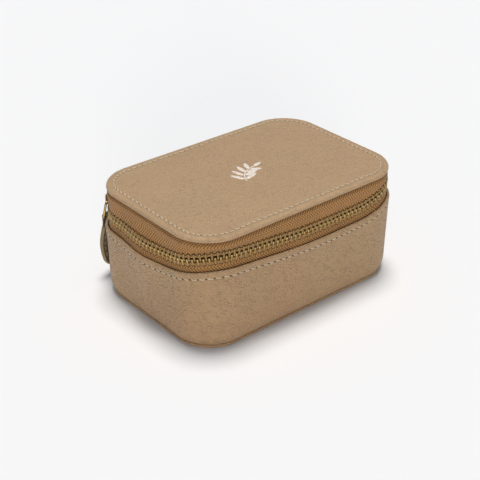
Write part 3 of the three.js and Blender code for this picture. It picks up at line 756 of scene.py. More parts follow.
def oval(half_a, half_b, sides=10, squareness=1.0):
    """An oval's points. Squareness under 1 fills out its corners."""
    turns = (2 * math.pi * (k + 0.5) / sides for k in range(sides))
    return [
        (half_a * powered(math.cos(turn), squareness), half_b * powered(math.sin(turn), squareness))
        for turn in turns
    ]


def stack(loops):
    """A closed solid from loops of points, one above the other, with its two ends filled."""
    count = len(loops[0])
    drop = lengths_down([loop[0] for loop in loops])
    return barrel(loops, drop, [AROUND * k / count for k in range(count + 1)])


def ease(t):
    """A smooth step, from 0 to 1 as t goes from 0 to 1."""
    t = min(max(t, 0.0), 1.0)
    return t * t * (3 - 2 * t)


def hump(x, middle, half, height):
    """A smooth bump of that height round its middle."""
    return height * math.exp(-(((x - middle) / half) ** 2))


def laid(points, z):
    """The points at a height, which may be a number or a function of the point."""
    for p in points:
        p.z = z(p) if callable(z) else z
    return points


INNER_RIM = -8.0  # where a panel's edge gives way to its two faces
FACE_LOOPS = (0.04, 0.2, 0.36, 0.52, 0.66, 0.78, 0.89)  # the loops of a face, as shares of that rim


def panel(profile, dome, under, step=1.2):
    """A plate with the plan outline. profile is its edge, from the top round to the underside, as (out, z)
    pairs; dome and under give the height of its two faces inside that edge."""

    def plan_loop(out, z):
        return laid([at(d, out, 0.0) for d in stops(step=step)[:-1]], z)

    def face(z):
        rim = plan_loop(INNER_RIM, z)
        loops = [[Vector((p.x * share, p.y * share, 0.0)) for p in rim] for share in FACE_LOOPS]
        return [laid(loop, z) for loop in loops] + [rim]

    return stack(face(dome) + [plan_loop(out, z) for out, z in profile] + face(under)[::-1])


# ------------------------------------------------------------------ stitching

THREAD_R = 0.24
THREAD_SIDES = 8
STRAND = 0.16  # how far each of the thread's three strands stands out, as a share of its radius
HOLE_LONG = 0.36
HOLE_WIDE = 0.30


def stitch(a, b, up):
    """One stitch from hole a to hole b: a twisted thread that rises out of one and dives into the other."""
    steps = 8
    path = []
    for k in range(steps + 1):
        t = k / steps
        rise = THREAD_R * (1.15 * math.sin(math.pi * t) ** 0.6 - 0.75) if 0 < t < 1 else -THREAD_R * 1.8
        path.append(a.lerp(b, t) + up * rise)

    def section(i):
        lay = 2.2 * math.pi * i / steps
        points = []
        for turn in (2 * math.pi * k / THREAD_SIDES for k in range(THREAD_SIDES)):
            strand = STRAND * math.cos(3 * (turn - lay))
            points.append(
                (THREAD_R * (0.95 + strand) * math.sin(turn), THREAD_R * (1.25 + strand) * math.cos(turn))
            )
        return points

    return tube(path, section, (b - a).cross(up).normalized())


def needle_hole_shadow(p, along_seam, up, scale=1.0):
    """The dimple where the needle went through, which carries the painted shadow inside the hole."""
    loops = []
    square = up.cross(along_seam).normalized()
    for size, height in ((0.2, 0.05), (0.8, 0.03), (1.0, -0.06), (0.6, -0.2)):
        loops.append([
            p + (along_seam * (HOLE_LONG * c) + square * (HOLE_WIDE * s)) * size * scale + up * height
            for c, s in oval(1.0, 1.0)
        ])
    return stack(loops)


def sewn(name, threads, holes, body, paint="thread"):
    """A seam's stitches and the painted shadows of its needle holes, as two pieces."""
    piece(merge(threads), f"{name}_stitching", paint, body, "leather")
    piece(merge(holes), f"{name}_needle_hole_shadows", "needle_hole_shadow", body, "leather")


def seam(name, place, start, end, pitch, body, cover, hole=1.0, skew=0.2):
    """A row of stitches. place(d) gives the seam's point and its surface's outward normal. cover is the share
    of the pitch that a stitch spans, and skew how far its two ends lie off the seam."""
    count = max(1, round((end - start) / pitch))
    threads, holes = [], []
    for i in range(count):
        d = start + (end - start) * (i + 0.5) / count
        (a, up_a), (b, up_b) = (place(d + side * pitch * cover / 2) for side in (-1, 1))
        up = (up_a + up_b).normalized()
        square = up.cross(b - a).normalized()
        threads.append(stitch(a + square * skew, b - square * skew, up))
        between, up_between = place(d + pitch / 2)
        holes.append(needle_hole_shadow(between, (b - a).normalized(), up_between, hole))
    sewn(name, threads, holes, body)


# ------------------------------------------------------------------ lid

LID_THICK = 0.9
# From the lid's edge in to each loop of points on its face, past the pillow and the seam's groove.
LID_RING_INSETS = (6.6, 5.6, 4.8, 4.2, 3.8, 3.4, 3.0, 2.6, 2.0, 1.3, 0.8, 0.45)


def lid_height(inset):
    """Height of the lid's upper face, that far in from its edge."""
    rise = LID_CROWN * ease((inset - 5.0) / (LID_DOME_IN - 5.0))
    groove = hump(inset, LID_SEAM_IN, 0.55, 0.26)
    pillow = hump(inset, 5.6, 1.3, 0.10) + hump(inset, 2.0, 0.8, 0.05)
    edge = 0.42 * max(0.0, 1 - inset / 1.6) ** 2
    return LID_TOP + rise - groove + pillow - edge


def lid_face(p):
    return lid_height(edge_inset(p.x, p.y)) + ripple(p, 24, 0.10, seed=2.0)


def lid_panel():
    """The leather over the lid: its face, its rolled edge and the turned-in hem under its rim."""
    inner = -LID_THICK
    rolled = [(-inset, lid_height(inset)) for inset in LID_RING_INSETS] + [
        (-0.18, LID_TOP - 0.52), (-0.04, LID_TOP - 0.85), (0.0, LID_TOP - 1.2), (-0.02, LID_RIM + 0.35),
        (-0.14, LID_RIM + 0.10), (-0.38, LID_RIM), (-0.7, LID_RIM + 0.05), (inner, LID_RIM + 0.3),
        (inner, LID_TOP - 1.5), (inner - 0.3, LID_TOP - 1.05), (-2.0, LID_TOP - LID_THICK),
    ]
    skin = panel(rolled, lid_face, lambda p: lid_face(p) - LID_THICK, step=0.9)
    piece(skin, "lid_leather_panel", "lid_leather", "lid", "leather", "lid_leather")


def lid_seam(d):
    return at(d, -LID_SEAM_IN, lid_height(LID_SEAM_IN) + 0.12), UP


# A generic sprig, stamped in foil: a curved stem, pairs of leaves and a leaf at its tip.
SPRIG_MIDDLE = Vector((-2.0, -1.0))
SPRIG_LONG = 15.0
SPRIG_LEAVES = 4
SPRIG_TURN = 38.0
LEAF_LONG = 7.0
LEAF_WIDE = 1.3
LEAF_SPLAY = 50.0
FOIL_RISE = 0.06
FOIL_SINK = 0.10
LEAF_POINTS = 16
STEM_STEPS = 18
STEM_HALF = 0.28
# The loops of a foil shape, from the middle of its top to that of its underside: size and height.
FOIL_LOOPS = ((0.1, FOIL_RISE), (0.8, FOIL_RISE), (1.0, 0.02), (1.0, -FOIL_SINK), (0.1, -FOIL_SINK))


def foil_shape(points):
    """A thin raised plate from a flat outline on the lid."""
    loops = []
    middle = sum(points, Vector((0, 0))) / len(points)
    for share, height in FOIL_LOOPS:
        flat = [middle.lerp(p, share).to_3d() for p in points]
        loops.append(laid(flat, lambda p: lid_face(p) + height))
    return stack(loops)


def leaf(root, heading, length, width):
    """A leaf that is widest below its middle."""
    side = Vector((-heading.y, heading.x))
    edge = []
    for turn in (2 * math.pi * k / LEAF_POINTS for k in range(LEAF_POINTS)):
        t = (1 - math.cos(turn)) / 2
        edge.append(root + heading * length * t + side * width * math.sin(turn) * (1 - 0.35 * t))
    return foil_shape(edge)


def stem_point(t):
    flat = Vector((SPRIG_LONG * (t - 0.5), 2.4 * math.sin(math.pi * t) - 1.2))
    return Matrix.Rotation(math.radians(SPRIG_TURN), 2) @ flat + SPRIG_MIDDLE


def foil_sprig():
    """The stem, the leaves along it and the leaf at its tip."""
    parts = []
    stem = [stem_point(k / STEM_STEPS) for k in range(STEM_STEPS + 1)]
    for a, b in zip(stem, stem[1:]):
        side = Vector((a.y - b.y, b.x - a.x)).normalized() * STEM_HALF
        parts.append(foil_shape([a + side, a - side, b - side, b + side]))
    for i in range(SPRIG_LEAVES):
        t = 0.10 + 0.66 * i / (SPRIG_LEAVES - 1)
        run = (stem_point(t + 0.02) - stem_point(t - 0.02)).normalized()
        for side in (-1, 1):
            heading = Matrix.Rotation(side * math.radians(LEAF_SPLAY), 2) @ run
            root = stem_point(t) + heading * 0.5
            parts.append(leaf(root, heading, LEAF_LONG * (1.06 - 0.35 * t), LEAF_WIDE))
    tip = (stem_point(1) - stem_point(0.96)).normalized()
    parts.append(leaf(stem_point(1), tip, LEAF_LONG * 0.7, LEAF_WIDE * 0.9))
    piece(merge(parts), "lid_foil_sprig", "foil", "lid", "leather")


# ------------------------------------------------------------------ base shell

WALL_THICK = 1.2
FOOT_TUCK = 1.1  # how far the wall's soft foot turns in
WALL_RIPPLES = ((9.0, 0.10), (26.0, 0.16))  # the size and height of the wall's unevenness


def wall_section(d):
    """The base's leather wall: a tucked foot, a soft waist, a seam groove and a puffed top edge."""
    foot, head, top = WALL_FOOT_OUT, head_out(d), edge_height(d)
    waist = 0.45 + 0.35 * (head - 0.3)
    seam_z = top - BASE_SEAM_DOWN
    outer = [
        (foot - 1.9, WALL_FOOT), (foot - FOOT_TUCK, WALL_FOOT + 0.25), (foot - 0.45, WALL_FOOT + 1.3),
        (foot + 0.05, WALL_FOOT + 2.9), (foot + 0.4, 8.0),
        (waist, 0.5 * top), (waist + 0.62 * (head - waist), 0.78 * top), (head - 0.12, seam_z - 1.4),
        (head - 0.10, seam_z - 0.55), (head - 0.36, seam_z), (head - 0.06, seam_z + 0.55),
        (head + 0.12, top - 1.4), (head, top - 0.5), (head - 0.26, top - 0.1), (head - 0.6, top),
        (head - 0.95, top - 0.16),
    ]
    inner = [
        (head - WALL_THICK, top - 0.9), (head - WALL_THICK, top - 3.2), (waist - WALL_THICK, 0.6 * top),
        (foot - WALL_THICK + 0.2, 8.0), (foot - WALL_THICK - 0.7, WALL_FOOT + 1.6),
    ]
    return smooth(outer + inner, 3)


def base_wall():
    skin = sweep(wall_section, step=0.9, ripples=WALL_RIPPLES)
    piece(skin, "base_wall_shell", "base_leather_shaded", "base", "leather", "base_wall_leather")


def base_seam(d):
    point = at(d, head_out(d) - 0.24, edge_height(d) - BASE_SEAM_DOWN)
    normal = Vector((*outline(d)[1], 0.0))
    lift = sum(ripple(point, size, height) for size, height in WALL_RIPPLES)
    return point + normal * lift, (normal + UP * 0.1).normalized()


def bottom_panel():
    """The leather under the base, with its cut edge just inside the wall's foot."""
    high = WALL_FOOT - 0.12
    out = WALL_FOOT_OUT - FOOT_TUCK + 0.15
    edge = [
        (-5.0, high), (-2.5, high), (out - 0.6, high), (out - 0.2, high - 0.14), (out, high - 0.45),
        (out - 0.02, 0.5), (out - 0.16, 0.18), (out - 0.5, 0.02), (-2.2, 0.0), (-3.2, 0.14), (-4.2, 0.0),
        (-6.0, 0.0),
    ]
    skin = panel(edge, high, 0.0)
    piece(skin, "base_bottom_panel", "base_leather_shaded", "base", "leather", "base_bottom_leather")


# ------------------------------------------------------------------ zip tapes and spine

BEND_OUT = WALL_THICK + 0.3  # how far inside the wall's face the lower strips bend
SEWN_OUT = -1.5  # where the lower strips are sewn, from the outline
ROOF = LID_RIM - 0.7  # under the lid's board
FOLD_OUT = -0.45  # where the upper strips fold in under the lid
UPPER_SPLIT = 130.0  # degrees: from the spine to here, the upper row's foot stays with the slider
STRETCH_FROM, STRETCH_TO = 43.4, 48.6  # two heights on the end of the upper tape
HINGE_Z = 40.0
HINGE_HALF = 2.2  # a distance above and below the hinge line, at the spine
SPINE_HALF = 0.5
SPINE_LINING_HALF = 0.2
SPINE_LINING_IN = 0.95  # how far behind the leather's middle the suede's lies


def lower_path(d, edge_out, edge_z):
    """From an edge above the base's wall, down behind it to where the strip is sewn."""
    z, bend = zip_line(d), head_out(d) - BEND_OUT - TAPE_THICK / 2
    return smooth([
        (edge_out, edge_z), (edge_out + 0.3 * (bend - edge_out), edge_z - 0.9), (bend, z - EDGE_DROP - 0.2),
        (bend - 0.1, z - EDGE_DROP - 1.4), (SEWN_OUT, z - TAPE_SEWN),
    ], 3, closed=False)


def upper_path(edge_out, edge_z, half):
    """From an edge below the lid's rim, up to its fold and in under the board."""
    roof = ROOF - half
    return smooth([
        (edge_out, edge_z), (edge_out + 0.35 * (FOLD_OUT - edge_out), edge_z + 1.2),
        (FOLD_OUT, LID_RIM - 2.8), (FOLD_OUT - 0.1, LID_RIM - 1.8), (FOLD_OUT - 1.1, LID_RIM - 0.75),
        (FOLD_OUT - 1.6, roof + 0.02), (-2.6, roof), (-6.0, roof),
    ], 3, closed=False)


def across_hinge(name, skin, paint, slot, y, low, high):
    """Builds a skin as an object, with its place baked into its points. slot, y, low and high are not used.
    """
    obj = skin.build(name, paint)
    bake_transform(obj)
    return obj


def zip_tapes():
    """The lower tape, and the upper one in two parts: the end beside the spine is a piece of its own."""
    half = TAPE_THICK / 2
    first, last = back_left(SPINE_END) + 0.3, back_right(SPINE_END) - 0.3
    split = back_left(UPPER_SPLIT)

    def lower(d):
        return strip(lower_path(d, chain_out(d), zip_line(d) - CORD_AT), half, CORD_R)

    def upper(d):
        return strip(upper_path(chain_out(d), zip_line(d) + CORD_AT, half), half, CORD_R)

    def woven(section, start, end):
        return sweep(section, start, end, step=1.2, ripples=((14.0, 0.12),))

    piece(woven(lower, first, last), "lower_tape", "tape", "base", "zip_tape", "lower_zip_tape")
    piece(woven(upper, split + 0.02, last), "upper_tape", "tape", "lid", "zip_tape", "upper_zip_tape")
    end = woven(upper, first, split - 0.02)
    across_hinge("upper_tape_end", end, "tape", "zip_tape", HY, STRETCH_FROM, STRETCH_TO)


def spine():
    """The strip of leather that joins lid and base, and the suede behind it."""
    first, last = back_right(SPINE_END), AROUND + back_left(SPINE_END)

    def strip_at(d, half, in_by):
        up = upper_path(CHAIN_INSET, HINGE_Z + 0.2, half)
        down = lower_path(d, CHAIN_INSET, HINGE_Z - 0.2)
        path = [p - Vector((in_by, 0.0)) for p in [*reversed(down), *up]]
        return strip(path, half)

    def lining_at(d):
        return strip_at(d, SPINE_LINING_HALF, SPINE_LINING_IN)

    bend = (DEPTH / 2 + CHAIN_INSET, HINGE_Z - HINGE_HALF, HINGE_Z + HINGE_HALF)
    outer = sweep(lambda d: strip_at(d, SPINE_HALF, 0.0), first, last, step=1.5, ripples=((18.0, 0.12),))
    outer = across_hinge("spine_leather", outer, "bending_leather_shaded", "leather", *bend)
    inner = sweep(lining_at, first + 1.0, last - 1.0, step=1.5)
    across_hinge("spine_lining", inner, "bending_suede", "suede_lining", *bend)
    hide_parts("lower_spine", "upper_spine")


# ------------------------------------------------------------------ zip teeth
# A tooth from its legs to the tip of its head: distance from the centre line (positive on its own side),
# half-width along the chain, half-depth, and how rubbed its outer face is.
TOOTH_RINGS = (
    (2.95, 0.42, 0.70, 0.25), (2.80, 0.64, 0.98, 0.50), (2.2, 0.70, 1.08, 0.55), (1.3, 0.68, 1.10, 0.60),
    (0.75, 0.60, 1.06, 0.50), (0.25, 0.53, 1.06, 0.80), (-0.15, 0.53, 1.04, 1.0), (-0.42, 0.48, 0.92, 0.9),
    (-0.55, 0.34, 0.65, 0.5),
)
TOOTH_BACK, TOOTH_TIP = TOOTH_RINGS[0][0], TOOTH_RINGS[-1][0]
SHORT_REACH = 0.38  # heads stop this far short of the centre line where the slider's post passes
UPPER_ROW_SHADE = 0.85  # the upper row's marks are cut to this share: painted shade, for the shade that row lies in under the lid


def tooth(side, d):
    """One tooth on the upper (1) or lower (-1) row, with its legs round the tape's cord."""
    x_axis = at(d + 0.5, chain_out(d), zip_line(d + 0.5)) - at(d - 0.5, chain_out(d), zip_line(d - 0.5))
    stand = frame_at(at(d, chain_out(d), zip_line(d)), x_axis, UP)
    tip = SHORT_REACH if d < back_left(SHORT_TEETH_END) else TOOTH_TIP
    # the upper row is darkened as painted shade
    wear = UPPER_ROW_SHADE if side > 0 else 1.0
    rings, marks = [], []
    for height, half_x, half_y, rubbed in TOOTH_RINGS:
        height = tip + (height - TOOTH_TIP) * (TOOTH_BACK - tip) / (TOOTH_BACK - TOOTH_TIP)
        ring = oval(half_x, half_y, sides=8, squareness=0.6)
        rings.append([stand @ Vector((x, -y, side * height)) for x, y in ring])
        marks += [wear * rubbed if y > 0.5 * half_y else 0.05 for _, y in ring]
    skin = barrel(rings, range(len(rings)), range(9))
    skin.marks = marks
    return skin


def zip_teeth():
    """Both rows. The upper teeth that the slider holds together ride with it on the base."""
    first, last = back_left(TEETH_START), back_right(TEETH_END)
    count = int((last - first) / TOOTH_PITCH)
    lower = [first + i * TOOTH_PITCH for i in range(count)]
    upper = [d + TOOTH_PITCH / 2 for d in lower]
    split = back_left(UPPER_SPLIT)
    for name, side, places, body, nodes in (
        ("lower_teeth", -1, lower, "base", ["lower_zip_teeth"]),
        ("upper_teeth", 1, [d for d in upper if d >= split], "lid", ["upper_zip_teeth"]),
        ("upper_teeth_end", 1, [d for d in upper if d < split], "base", []),
    ):
        piece(merge(tooth(side, d) for d in places), name, "brass", body, "antique_brass", *nodes)


def zip_stops():
    """The crimped blocks at the two ends of the chain."""
    for name, low, high, place in (
        ("zip_top_stop", -2.9, -0.8, back_left), ("zip_bottom_stop", -2.9, 1.9, back_right),
    ):
        d = place(STOPS_AT)
        stand = frame_at(at(d, chain_out(d), zip_line(d)), at(d + 0.5, 0, 0) - at(d - 0.5, 0, 0), UP)
        block = box_skin(Vector((-0.45, -1.1, low)), Vector((0.45, 1.1, high)), 0.3)
        block.marks = [0.7 if p.y < 0 else 0.2 for p in block.points]
        piece(placed(block, stand), f"{name}_block", "brass", "base", "antique_brass", name)


# ------------------------------------------------------------------ slider and pull

PLATE_GAP = 1.4  # from the chain's middle to a plate's inner face
PLATE = 1.0
SLIDER_HALF = 15.0  # degrees
SLIDER_WIDE = 4.2
SLIDER_NARROW = 3.9
FLANGE_FROM = 3.2  # the height off the centre line at which a plate's edge turns in
POST_HALF = 0.3
POST_DEEP = 1.1

PULL_X = 3.3  # the plane that the pull hangs in, outwards from the plan outline
BAIL_HALF = 2.3
WIRE_R = 0.55
RING_HALF = 4.8
RING_NARROW = 2.2  # half the length of its upper bar
RING_TOP = -1.0  # the ring's upper bar, from the zip's centre line
RING_LOW = -7.6
STRAP = 0.9
STRAP_HALF = 3.9
TAB_FOOT = -33.5
TAB_BOW = 2.8  # how far the strap stands off, a little below the middle of its length
EDGE_TOP = -12.5  # where the strap's painted edge starts
STRAP_SEAM_TOP = -12.0  # where its stitches start
STRAP_SEAM_AT = 2.6  # from its middle out to each row of stitches
STRAP_STITCH = 2.1
STRAP_PITCH = 2.9


def slider_plate(side):
    """One of the slider's plates: crowned, with rounded shoulders, its edges turned in behind the teeth."""
    start, end = back_left(SLIDER_AT - SLIDER_HALF), back_left(SLIDER_AT + SLIDER_HALF)
    flange_end = 1.0 if side > 0 else 0.65

    def section(d):
        share = (d - start) / (end - start)
        shoulder = abs(2 * share - 1) ** 5
        half = SLIDER_WIDE + (SLIDER_NARROW - SLIDER_WIDE) * share
        edge = half - 0.5 * shoulder
        face = PLATE_GAP + PLATE - 0.35 * shoulder
        profile = [
            (face, 0.0), (face - 0.02, 0.5 * edge), (face - 0.14, edge - 0.6), (face - 0.45, edge - 0.12),
            (face - 0.9, edge), (flange_end, edge), (flange_end, FLANGE_FROM), (PLATE_GAP, FLANGE_FROM - 0.1),
            (PLATE_GAP, 0.0),
        ]
        z = zip_line(d)
        return (
            [Vector((CHAIN_INSET + side * reach, z - h)) for reach, h in profile]
            + [Vector((CHAIN_INSET + side * reach, z + h)) for reach, h in reversed(profile[1:-1])]
        )

    return sweep(section, start, end, step=0.5, mark=0.75)


def slider_post():
    """The wedge that joins the plates between the two rows of teeth, thinner towards its closed end."""
    start, end = back_left(SLIDER_AT - 12), back_left(SLIDER_AT - 4)

    def section(d):
        half = POST_HALF * (1.0 - 0.6 * (d - start) / (end - start))
        z = zip_line(d)
        corners = ((-POST_DEEP, -half), (POST_DEEP, -half), (POST_DEEP, half), (-POST_DEEP, half))
        return [Vector((CHAIN_INSET + x, z + h)) for x, h in corners]

    return sweep(section, start, end, step=0.5, mark=0.4)


def at_slider():
    """From the slider's own frame (x outwards, y along the chain, z up) to the object's."""
    return (
        Matrix.Translation((-HX, HY, 0.0))
        @ Matrix.Rotation(math.radians(SLIDER_AT), 4, "Z")
        @ Matrix.Translation((CORNER_R, 0.0, zip_line(back_left(SLIDER_AT))))
    )


def rounded(corners, radius, steps=5, closed=True):
    """A path through the corners, each turned with that radius."""
    path = []
    count = len(corners)
    for i, corner in enumerate(corners):
        if not closed and i in (0, count - 1):
            path.append(corner)
            continue
        before, after = corners[i - 1] - corner, corners[(i + 1) % count] - corner
        enter, leave = corner + before.normalized() * radius, corner + after.normalized() * radius
        for k in range(steps + 1):
            t = k / steps
            path.append(enter * (1 - t) ** 2 + corner * 2 * t * (1 - t) + leave * t**2)
    return path


def slider_bail():
    """The hoop on the slider's outer plate that the ring hangs in."""
    foot, top = CHAIN_INSET + PLATE_GAP + PLATE - 0.25, PULL_X + 1.1
    corners = ((foot, -BAIL_HALF), (top, -BAIL_HALF), (top, BAIL_HALF), (foot, BAIL_HALF))
    path = rounded([Vector((x, 0.0, z)) for x, z in corners], 1.3, closed=False)
    return tube(path, lambda i: oval(0.42, 0.9, squareness=0.8), Y_AXIS, mark=0.85)


def pull_ring():
    """The wire ring, wider at its foot, where it carries the strap."""
    low = ((-RING_HALF, RING_LOW), (RING_HALF, RING_LOW))
    top = ((RING_NARROW, RING_TOP), (-RING_NARROW, RING_TOP))
    path = rounded([Vector((PULL_X, y, z)) for y, z in low + top], 1.1)
    return tube(path, lambda i: oval(WIRE_R, WIRE_R), X_AXIS, closed=True, mark=0.8)


def strap_path():
    """The strap's middle: up its inner layer, round the ring's lower bar, and down its outer layer."""
    half = STRAP / 2
    turn = WIRE_R + 0.25 + half
    rounded_foot = [(half, TAB_FOOT + STRAP_HALF * share) for share in (0.0, 0.02, 0.08, 0.2, 0.4, 0.65, 1.0)]
    layer = rounded_foot + [(half, -24.0), (half, -16.0), (half + 0.05, -12.0)]
    inner = [(PULL_X - x, z) for x, z in layer]
    bend = [
        (PULL_X - turn * math.cos(a), RING_LOW + turn * math.sin(a))
        for a in (math.pi * k / 8 for k in range(9))
    ]
    outer = [(PULL_X + x, z) for x, z in reversed(layer)]
    path = smooth([Vector(p) for p in inner + bend + outer], 2, closed=False)
    return [Vector((x, 0.0, z)) for x, z in path]


def bowed(p):
    """The strap's own set: it stands off below the ring and swings back in towards its foot."""
    share = min(max((RING_LOW - p.z) / (RING_LOW - TAB_FOOT), 0.0), 1.0)
    return Vector((p.x + TAB_BOW * math.sin(math.pi * share**1.36), p.y, p.z))


def strap_half_width(z):
    """Half the strap's width at a height: rounded like a tongue at its foot."""
    up = z - TAB_FOOT
    if up >= STRAP_HALF:
        return STRAP_HALF
    return STRAP_HALF * math.sqrt(max(1 - ((STRAP_HALF - up) / STRAP_HALF) ** 2, 0.02))


def pull_tab():
    """The strap: one length of leather, folded over the ring's lower bar."""
    path = strap_path()

    def section(i):
        return oval(STRAP / 2 - 0.01, strap_half_width(path[i].z), sides=16, squareness=0.35)

    return tube(path, section, Y_AXIS)


def painted_edge():
    """The sealed edge of the sewn strap: down one side, round the foot and up the other."""
    turn_z = TAB_FOOT + STRAP_HALF
    down = [(-STRAP_HALF, EDGE_TOP + (turn_z - EDGE_TOP) * k / 14) for k in range(14)]
    turns = (math.pi * k / 20 for k in range(21))
    foot = [(-STRAP_HALF * math.cos(turn), turn_z - STRAP_HALF * math.sin(turn)) for turn in turns]
    path = [Vector((PULL_X, y, z)) for y, z in down + foot + [(-y, z) for y, z in reversed(down)]]
    section = [(0.22 * a, b) for a, b in oval(1.0, STRAP * 1.06, squareness=0.7)]
    return tube(path, lambda i: section, X_AXIS)


def strap_stitches():
    """Two rows of stitches down the strap, through both layers, seen on both faces."""
    threads, holes = [], []
    for face in (-1, 1):
        up = Vector((face, 0.0, 0.0))
        for y in (-STRAP_SEAM_AT, STRAP_SEAM_AT):
            z = STRAP_SEAM_TOP
            while z - STRAP_STITCH > TAB_FOOT + 4.5:
                x = PULL_X + face * (STRAP + 0.05)
                threads.append(stitch(*(bowed(Vector((x, y, h))) for h in (z, z - STRAP_STITCH)), up))
                hole = bowed(Vector((PULL_X + face * STRAP, y, z + 0.4)))
                holes.append(needle_hole_shadow(hole, UP, up))
                z -= STRAP_PITCH
    return threads, holes


def slider_and_pull():
    """The slider's four pieces, and the ring, the strap, its edge and its stitches, which hang from it."""
    stand = at_slider()
    for name, skin in (
        ("slider_outer_plate", slider_plate(1)), ("slider_inner_plate", slider_plate(-1)),
        ("slider_post", slider_post()), ("slider_bail", placed(slider_bail(), stand)),
    ):
        piece(skin, f"{name}_detail", "brass", "slider", "antique_brass", name)
    piece(placed(pull_ring(), stand), "pull_ring_wire", "brass", "pull", "antique_brass", "pull_ring")
    tab, edge = pull_tab(), painted_edge()
    for skin in (tab, edge):
        skin.points = [stand @ bowed(p) for p in skin.points]
    piece(tab, "pull_tab_strap", "strap_leather_shaded", "pull", "leather", "pull_tab")
    piece(edge, "pull_tab_edge", "strap_edge", "pull", "leather")
    threads, holes = ([placed(skin, stand) for skin in row] for row in strap_stitches())
    sewn("pull_tab", threads, holes, "pull", "strap_thread")


# ------------------------------------------------------------------ inside the base

RIM_WIDE = 2.6  # the lining's rolled lip, which covers the board
ROLLS = 7
ROLL_RINGS = 36
ROLL_SIDES = 28


def wall_lining():
    """The suede on the inside of the wall, with a rolled lip over the board."""
    out = LINING_HIGH.x - LENGTH / 2
    cavity = out - RIM_WIDE
    foot, lip = LINING_LOW.z, LINING_HIGH.z
    section = smooth([
        (out - 1.7, foot), (out - 1.75, lip - 6.0), (out - 1.72, lip - 1.5), (out - 0.7, lip - 1.05),
        (out - 0.1, lip - 0.95), (out + 0.02, lip - 0.5), (out - 0.3, lip - 0.08), (out - 1.3, lip + 0.05),
        (cavity + 0.35, lip - 0.1), (cavity + 0.02, lip - 0.55), (cavity + 0.1, lip - 1.3),
        (cavity, lip - 4.0), (cavity, foot + 8.0), (cavity, foot + 0.2), (cavity + 0.3, foot),
    ], 2)
    skin = sweep(lambda d: section, step=1.5, ripples=((12.0, 0.08),))
    piece(skin, "tray_wall_lining", "suede", "base", "suede_lining", "base_wall_lining")


def floor_lining():
    low, high = node_box("base_floor_lining")
    out = high.x - LENGTH / 2

    def pile(p):
        return high.z - 0.05 + ripple(p, 15.0, 0.10)

    edge = [
        (out - 2.5, high.z), (out - 0.3, high.z - 0.05), (out, high.z - 0.35), (out, low.z + 0.1),
        (out - 0.3, low.z),
    ]
    piece(panel(edge, pile, low.z), "tray_floor_lining", "suede", "base", "suede_lining", "base_floor_lining")


def dividers():
    """Card walls wrapped in suede, a little soft along their edges."""
    for node in ("ring_bank_divider", "long_divider", "short_divider"):
        skin = box_skin(*node_box(node), 0.75, steps=4)
        piece(skin, f"{node}_cover", "suede", "base", "suede_lining", node)


def ring_roll(index):
    """A padded roll: plump along its top, gathered at its ends, and nipped in by its neighbours."""
    node = f"ring_roll_{index + 1}"
    low, high = node_box(node)
    long, half, tall = high.x - low.x, (high.y - low.y) / 2, high.z - low.z
    middle = (high.y + low.y) / 2
    rings = []
    for i in range(ROLL_RINGS + 1):
        share = i / ROLL_RINGS
        edge = min(share, 1 - share) * long
        plump = 1 - 0.55 * math.exp(-((edge / 0.9) ** 1.2)) if 0 < i < ROLL_RINGS else 0.42
        ring = []
        for turn in (2 * math.pi * k / ROLL_SIDES for k in range(ROLL_SIDES)):
            y = half * powered(math.sin(turn), 0.72)
            z = powered(math.cos(turn), 0.8) * tall / 2
            p = Vector((low.x + long * share, middle + y * plump * 0.985, low.z + tall / 2 + z * plump))
            ring.append(p + UP * ripple(p, 6.0, 0.16, seed=index))
        rings.append(ring)
    travelled = [long * i / ROLL_RINGS for i in range(ROLL_RINGS + 1)]
    skin = barrel(rings, travelled, lengths_down(rings[ROLL_RINGS // 2]))
    roll = piece(skin, f"{node}_cushion", "suede", "base", "suede_lining", node)


# ------------------------------------------------------------------ inside the lid

GATHERS = 17
GATHER_DEEP = 1.9  # how far the pocket's folds hang at its mouth
POCKET_CORNER = 9.0
CLOTH = 0.3  # the pocket's thickness
CLOTH_STEPS = 240  # across the pocket


def lid_lining():
    """The padded suede face inside the lid, thinner towards its edge."""
    low, high = node_box("lid_lining")
    out = high.x - LENGTH / 2

    def face(p):
        return low.z - 0.1 + ripple(p, 18.0, 0.12) + 0.25 * ease((9.0 - edge_inset(p.x, p.y)) / 6.0)

    edge = [
        (out - 2.5, high.z), (out - 0.3, high.z), (out, high.z - 0.3), (out - 0.02, low.z + 0.55),
        (out - 0.35, low.z + 0.2), (out - 2.0, low.z + 0.1),
    ]
    piece(panel(edge, high.z, face), "lid_lining_panel", "suede", "lid", "suede_lining", "lid_lining")


def gather(u):
    """The pocket's folds, from 0 to 1, at a share of the way across it."""
    return 0.5 + 0.5 * math.cos(2 * math.pi * GATHERS * u + 1.1 * math.sin(5 * u))


def band_across(section, low, high):
    """A closed strip across the lid. section(u) gives its (y, z) points at a share of the way across."""
    wide = high.x - low.x
    shares = [i / CLOTH_STEPS for i in range(CLOTH_STEPS + 1)]
    rings = [[Vector((low.x + wide * u, y, z)) for y, z in section(u)] for u in shares]
    return barrel(rings, [wide * i / CLOTH_STEPS for i in range(CLOTH_STEPS + 1)], lengths_down(rings[0]))


